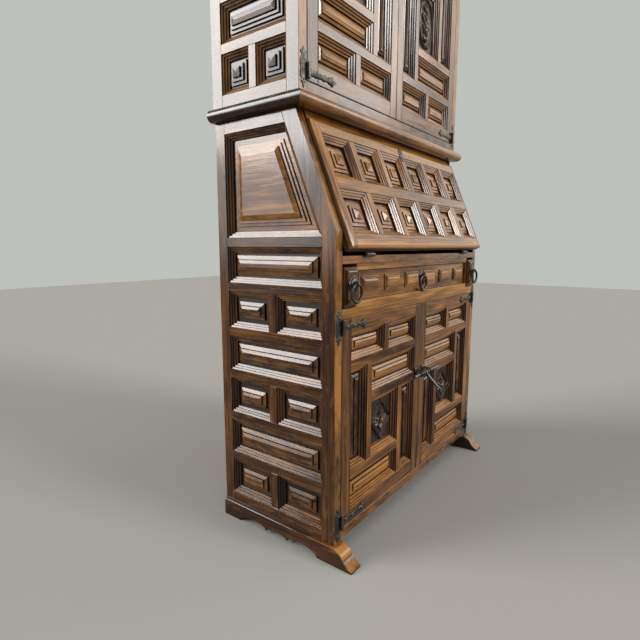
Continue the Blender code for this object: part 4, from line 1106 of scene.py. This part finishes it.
def bump_at(value, middle, width):
    """1 at the middle, and less on both sides of it."""
    return exp(-(((value - middle) / width) ** 2))


def lozenge_rosette(s, t):
    """A raised lozenge with a rope edge, four leaves, four buds and a boss."""
    lozenge = abs(s) + abs(t)
    if lozenge > 1.0:
        return 0.10 * bump_at(abs(s), 0.86, 0.10) * bump_at(abs(t), 0.86, 0.10)
    r, turn = hypot(s, t), atan2(t, s)
    height = 0.16 + 0.5 * bump_at(lozenge, 0.91, 0.045) - 0.12 * bump_at(lozenge, 0.80, 0.04)
    spread_out = abs(cos(2 * turn))
    if cos(2 * turn) > 0:
        reach = 0.66 * sqrt(spread_out)
        if r < reach:
            leaf_side = abs(sin(2 * turn))
            height += 0.55 * (1 - (r / reach) ** 3) * (0.55 + 0.45 * cos(9 * leaf_side)) + 0.1
            height -= 0.22 * bump_at(leaf_side, 0, 0.08)
    elif r < 0.46 * sqrt(spread_out):
        height += 0.42 * (0.5 + 0.5 * cos(16 * r))
    if r < 0.15:
        height = max(height, 0.55 + 0.45 * sqrt(1 - (r / 0.15) ** 2))
    return min(1.0, max(0.0, height))


# distance from the hinge and half width of a strap, which ends in a fleur
STRAP = ((0.0, 0.0085), (0.010, 0.0088), (0.014, 0.0066), (0.030, 0.0062), (0.034, 0.0078), (0.038, 0.0060))
STRAP += ((0.062, 0.0054), (0.066, 0.0074), (0.070, 0.0050), (0.082, 0.0046), (0.085, 0.0088))
STRAP += ((0.0885, 0.0046), (0.092, 0.0075), (0.096, 0.0112), (0.101, 0.0095), (0.099, 0.0060))
STRAP += ((0.106, 0.0042), (0.113, 0.0))
strap_t, barrel_l, barrel_r = 0.0033, 0.033, 0.0045


def strap_hinge(name, side, height, face_y, body):
    """A forged strap on the face of a door, with its barrel."""
    mesh = stock()
    origin = Vector((side * HINGE_X, face_y, height))
    knuckles(mesh, origin - Y * HINGE_OUT - Z * barrel_l / 2, Z, barrel_l, barrel_r)
    edge = [Vector((u, -v)) for u, v in STRAP] + [Vector((u, v)) for u, v in reversed(STRAP[:-1])]
    beaten(mesh, edge, strap_t, GAP, basis(X * -side, Z, -Y, origin))
    for u in (0.022, 0.052, 0.095):
        nail(mesh, origin - X * side * u - Y * strap_t, -Y)
    place(f"{name}_strap", mesh, forged, body, [name], smooth=40)


# right half of a jamb plate, across and as a share of half its height
JAMB_CUT = ((0.0, -1.0), (0.0032, -0.93), (0.0016, -0.84), (0.0075, -0.75), (0.0098, -0.66), (0.0055, -0.60))
JAMB_CUT += ((0.0110, -0.45), (0.0116, -0.20), (0.0085, -0.05), (0.0116, 0.10), (0.0116, 0.35))
JAMB_CUT += ((0.0060, 0.50), (0.0045, 0.60), (0.0110, 0.72), (0.0085, 0.80), (0.0026, 0.76), (0.0030, 0.90))
JAMB_CUT += ((0.0, 1.0),)
jamb_t = 0.0020


def jamb_plate(name, x, face_y, z0, z1):
    """The cut plate that holds a hinge's pin on the front edge of the side."""
    tall = (z1 - z0) / 2
    mesh = stock()
    origin = Vector((x, face_y, (z0 + z1) / 2))
    beaten(mesh, mirrored(JAMB_CUT, tall), jamb_t, 0.0001, basis(X, Z, -Y, origin))
    for v in (-0.58, 0.58):
        nail(mesh, origin + Z * v * tall - Y * jamb_t, -Y, 0.0027)
    place(name, mesh, forged, "carcass", smooth=40)


def hang_doors(prefix, low, height, face_y, rails, tone, field, carving, rise, strap_inset, plates):
    """Both doors of a pair: rails are the openings' heights, plates the jamb plates' heights."""
    members, openings = door_leaf(height, *rails)
    # lying panels are toned lighter and standing ones darker and unrubbed, as painted light and painted shade
    lying = {"flat": 0.005, "steps": field, "tone": 0.9, "waxed": -0.8}
    standing = {"flat": 0.005, "steps": field, "tone": -0.4, "rubbed": 0.0, "waxed": -0.8}
    carving_ground = {"flat": 0.003}
    panels = [lying, lying, standing, lying, standing, lying, carving_ground]
    for details in members[:3]:
        details["rubbed"] = {0: -1.0, 1: -1.0}
    for name, side in SIDES:
        body = f"{prefix}_{name}"
        matrix = basis(X * -side, Z, -Y, Vector((side * EDGE, face_y, low)))
        fields = leaf(body, members, openings, panels, DOOR_T, matrix, body, tone, (0.5, -0.1))
        work = carved(openings[-1], carving, rise)
        work.transform(matrix)
        join(fields, work)
        place(f"{body}_fields", fields, dark_stain, body, [f"{body}_panels"])
        for spot, v in (("bottom", strap_inset), ("top", height - strap_inset)):
            hinge = f"{body}_hinge_{spot}"
            strap_hinge(hinge, side, low + v, face_y, body)
        for spot, (z0, z1) in zip(("bottom", "top"), plates):
            jamb_plate(f"{body}_jamb_plate_{spot}", side * JAMB_X, face_y, z0, z1)


hang_doors(
    "door",
    low=0.0815,
    height=0.529,
    face_y=0.0,
    rails=(0.425, 0.497, 0.038, 0.4025),
    tone=0.5,
    field=fielded,
    carving=lozenge_rosette,
    rise=0.0130,
    strap_inset=0.0175,
    plates=((0.052, 0.142), (0.553, 0.637)),
)

# Bolt
# A round iron bolt lies across the meeting stiles in four staples. Its curved lever hangs down in front;
# the end on the left door stays in its keeper.

BOLT_R, bolt_end, staple_r = 0.005, 0.0046, 0.0075
bolt_at = Vector((0, -0.020, 0.399))
# outline of the plate on the meeting stile, from the middle of the desk
flag = ((0.0115, -0.013), (0.0145, -0.017), (0.0315, -0.017), (0.0345, -0.013), (0.0325, 0.0))
flag += ((0.0345, 0.013), (0.0315, 0.017), (0.0145, 0.017), (0.0115, 0.013), (0.0130, 0.0))
for node, side, body in (("latch_plate", 1, "door_right"), ("latch_keeper", -1, "door_left")):
    mesh = stock()
    beaten(mesh, [Vector(p) for p in flag], strap_t, GAP, basis(X * side, Z, -Y, Z * bolt_at.z))
    for v in (-0.0125, 0.0125):
        nail(mesh, Vector((side * 0.023, -strap_t, bolt_at.z + v)), -Y, 0.0026)
    for u in (0.0165, 0.0305):
        staple_foot = Vector((side * u, -0.0025, bolt_at.z))
        path = [(staple_foot - Z * staple_r, -Z)]
        for k in range(13):
            turn = -pi / 2 - pi * k / 12
            out = Y * cos(turn) + Z * sin(turn)
            path.append((bolt_at + X * side * u + out * staple_r, out))
        path.append((staple_foot + Z * staple_r, Z))
        shell(mesh, [round_loop(middle, out * 0.0017, X * 0.0021, 10, 0.4) for middle, out in path], X)
    if side < 0:
        rod = [(-0.072, 0.0035), (-0.071, bolt_end), (-0.069, BOLT_R), (-0.0025, BOLT_R), (-0.002, bolt_end)]
        turned(mesh, bolt_at, X, rod, 20, 0.45)
    place(f"{node}_iron", mesh, forged, body, [node], smooth=45)
mesh = stock()
rod = [(0.002, bolt_end), (0.0025, BOLT_R), (0.097, BOLT_R), (0.099, 0.0044), (0.100, 0.0030)]
turned(mesh, bolt_at, X, rod, 20, 0.45)
lever_l, lever_slope, lever_steps = 0.1025, radians(50), 24
lever = []
for i in range(lever_steps + 1):
    share = i / lever_steps
    drop = lever_l * sin(lever_slope) * share - 0.046 * share**6
    reach = lever_l * cos(lever_slope) * share
    lever.append(bolt_at + Vector((0.0065 + 0.020 * share**2, -reach, -drop)))
loops = []
for i, middle in enumerate(lever):
    along = (lever[min(i + 1, lever_steps)] - lever[max(i - 1, 0)]).normalized()
    across = along.cross(X).normalized()
    up = along.cross(across)
    radius = 0.0042 - 0.0012 * i / lever_steps
    loops.append(round_loop(middle, across * radius, up * radius, 12, 0.5))
shell(mesh, loops, X)
place("latch_bolt_and_lever", mesh, forged, "latch", ["latch_bolt"], smooth=45)

# Upper doors
# Two stained doors like the lower ones turned over, with the small pair below and a tall carved oval
# in the middle. They hang on the same forged straps, nailed to the face.


def oval_leaf(s, t):
    """An oval frame round an upright leaf with veins."""
    oval = hypot(s, t)
    if oval > 1.0:
        return 0.12 * bump_at(abs(s), 0.84, 0.12) * bump_at(abs(t), 0.88, 0.08)
    height = 0.15 + 0.5 * bump_at(oval, 0.91, 0.05) - 0.1 * bump_at(oval, 0.78, 0.05)
    inside = 1 - (t / 0.74) ** 2
    if inside > 0:
        width = 0.56 * sqrt(inside) * (0.80 + 0.20 * cos(15 * t - 7 * abs(s)))
        if abs(s) < width:
            height += 0.5 * (1 - (abs(s) / width) ** 2) + 0.13 * cos(24 * (t - 0.9 * abs(s))) + 0.12
            height -= 0.3 * bump_at(abs(s), 0, 0.045)
    return min(1.0, max(0.0, height))


hang_doors(
    "upper_door",
    low=1.1565,
    height=0.582,
    face_y=UPPER_Y,
    rails=(0.041, 0.118, 0.1405, 0.541),
    tone=0.6,
    field=hipped,
    carving=oval_leaf,
    rise=0.0130,
    strap_inset=0.0195,
    plates=((1.137, 1.225), (1.670, 1.758)),
)

# Floor, light and camera
# A plain pale floor, soft lamps far off and a pale surround, which the varnish and the iron mirror. The
# camera stands where the picture was taken.

floor_finish = bpy.data.materials.new("pale_floor")
floor_finish.use_nodes = True
tree = floor_finish.node_tree
shader = tree.nodes["Principled BSDF"]
shader.inputs["Base Color"].default_value = (0.27, 0.26, 0.245, 1)
shader.inputs["Roughness"].default_value = 0.6
shader.inputs["Specular IOR Level"].default_value = 0.0
data = bpy.data.meshes.new("floor")
spread_of_floor = rect(-9, -9, 9, 9)
data.from_pydata([(*p, 0) for p in spread_of_floor], [], [(0, 1, 2, 3)])
data.materials.append(floor_finish)
floor = bpy.data.objects.new("floor", data)
bpy.context.scene.collection.objects.link(floor)

world = bpy.data.worlds.new("surround")
world.use_nodes = True
bpy.context.scene.world = world
tree = world.node_tree
ray = add_node(tree, "ShaderNodeLightPath").outputs
seen = maths(tree, "MAXIMUM", ray["Is Camera Ray"], ray["Is Glossy Ray"])
seen = maths(tree, "MAXIMUM", seen, ray["Is Transmission Ray"])
shown = blended(tree, seen, (0.22, 0.22, 0.22, 1), (0.51, 0.53, 0.50, 1))
tree.links.new(shown, tree.nodes["Background"].inputs["Color"])


def lamp(name, towards, radius, brightness, colour):
    """A soft lamp far off, in a direction from the desk; radius is half the angle that it fills."""
    light = bpy.data.lights.new(name, "SUN")
    light.angle = radians(2 * radius)
    light.energy = brightness * pi * sin(radians(radius)) ** 2
    light.color = colour
    obj = bpy.data.objects.new(name, light)
    obj.rotation_euler = Vector(towards).to_track_quat("Z", "Y").to_euler()
    bpy.context.scene.collection.objects.link(obj)


window, shade, daylight = (1.0, 0.99, 0.98), (1.0, 0.97, 0.93), (1.0, 0.98, 0.95)
lamp("soft_box_behind_left", (-0.641, 0.619, 0.454), radius=17, brightness=13.8, colour=window)
lamp("soft_box_low_left", (-0.739, 0.665, 0.105), radius=9, brightness=3.6, colour=window)
lamp("soft_box_right", (0.7456, -0.5618, 0.3584), radius=10, brightness=4.6, colour=shade)
lamp("soft_box_far_right", (0.90, -0.292, 0.326), radius=20, brightness=0.9, colour=shade)
lamp("soft_box_low_right", (0.8361, -0.5430, 0.0785), radius=4, brightness=3, colour=shade)
lamp("soft_box_front", (0.1977, -0.8563, 0.4772), radius=9.5, brightness=26, colour=daylight)
lamp("soft_box_low_front", (0.4484, -0.8800, 0.1564), radius=6, brightness=11, colour=daylight)
lamp("soft_box_above", (-0.2, -0.3, 0.93), radius=30, brightness=1.4, colour=(1.0, 0.98, 0.96))

lens = bpy.data.cameras.new("camera")
lens.sensor_width = 36
lens.lens = 26.62
camera = bpy.data.objects.new("camera", lens)
camera.location = Vector((-1.3235, front_y - 0.6178, 0.7821))
looks_down, leans, turned_right = 0.1548, -0.0011, 0.9215
camera.rotation_euler = (pi / 2 - looks_down, leans, -turned_right)
bpy.context.scene.collection.objects.link(camera)
bpy.context.scene.camera = camera
bpy.context.scene.view_settings.view_transform = "Standard"
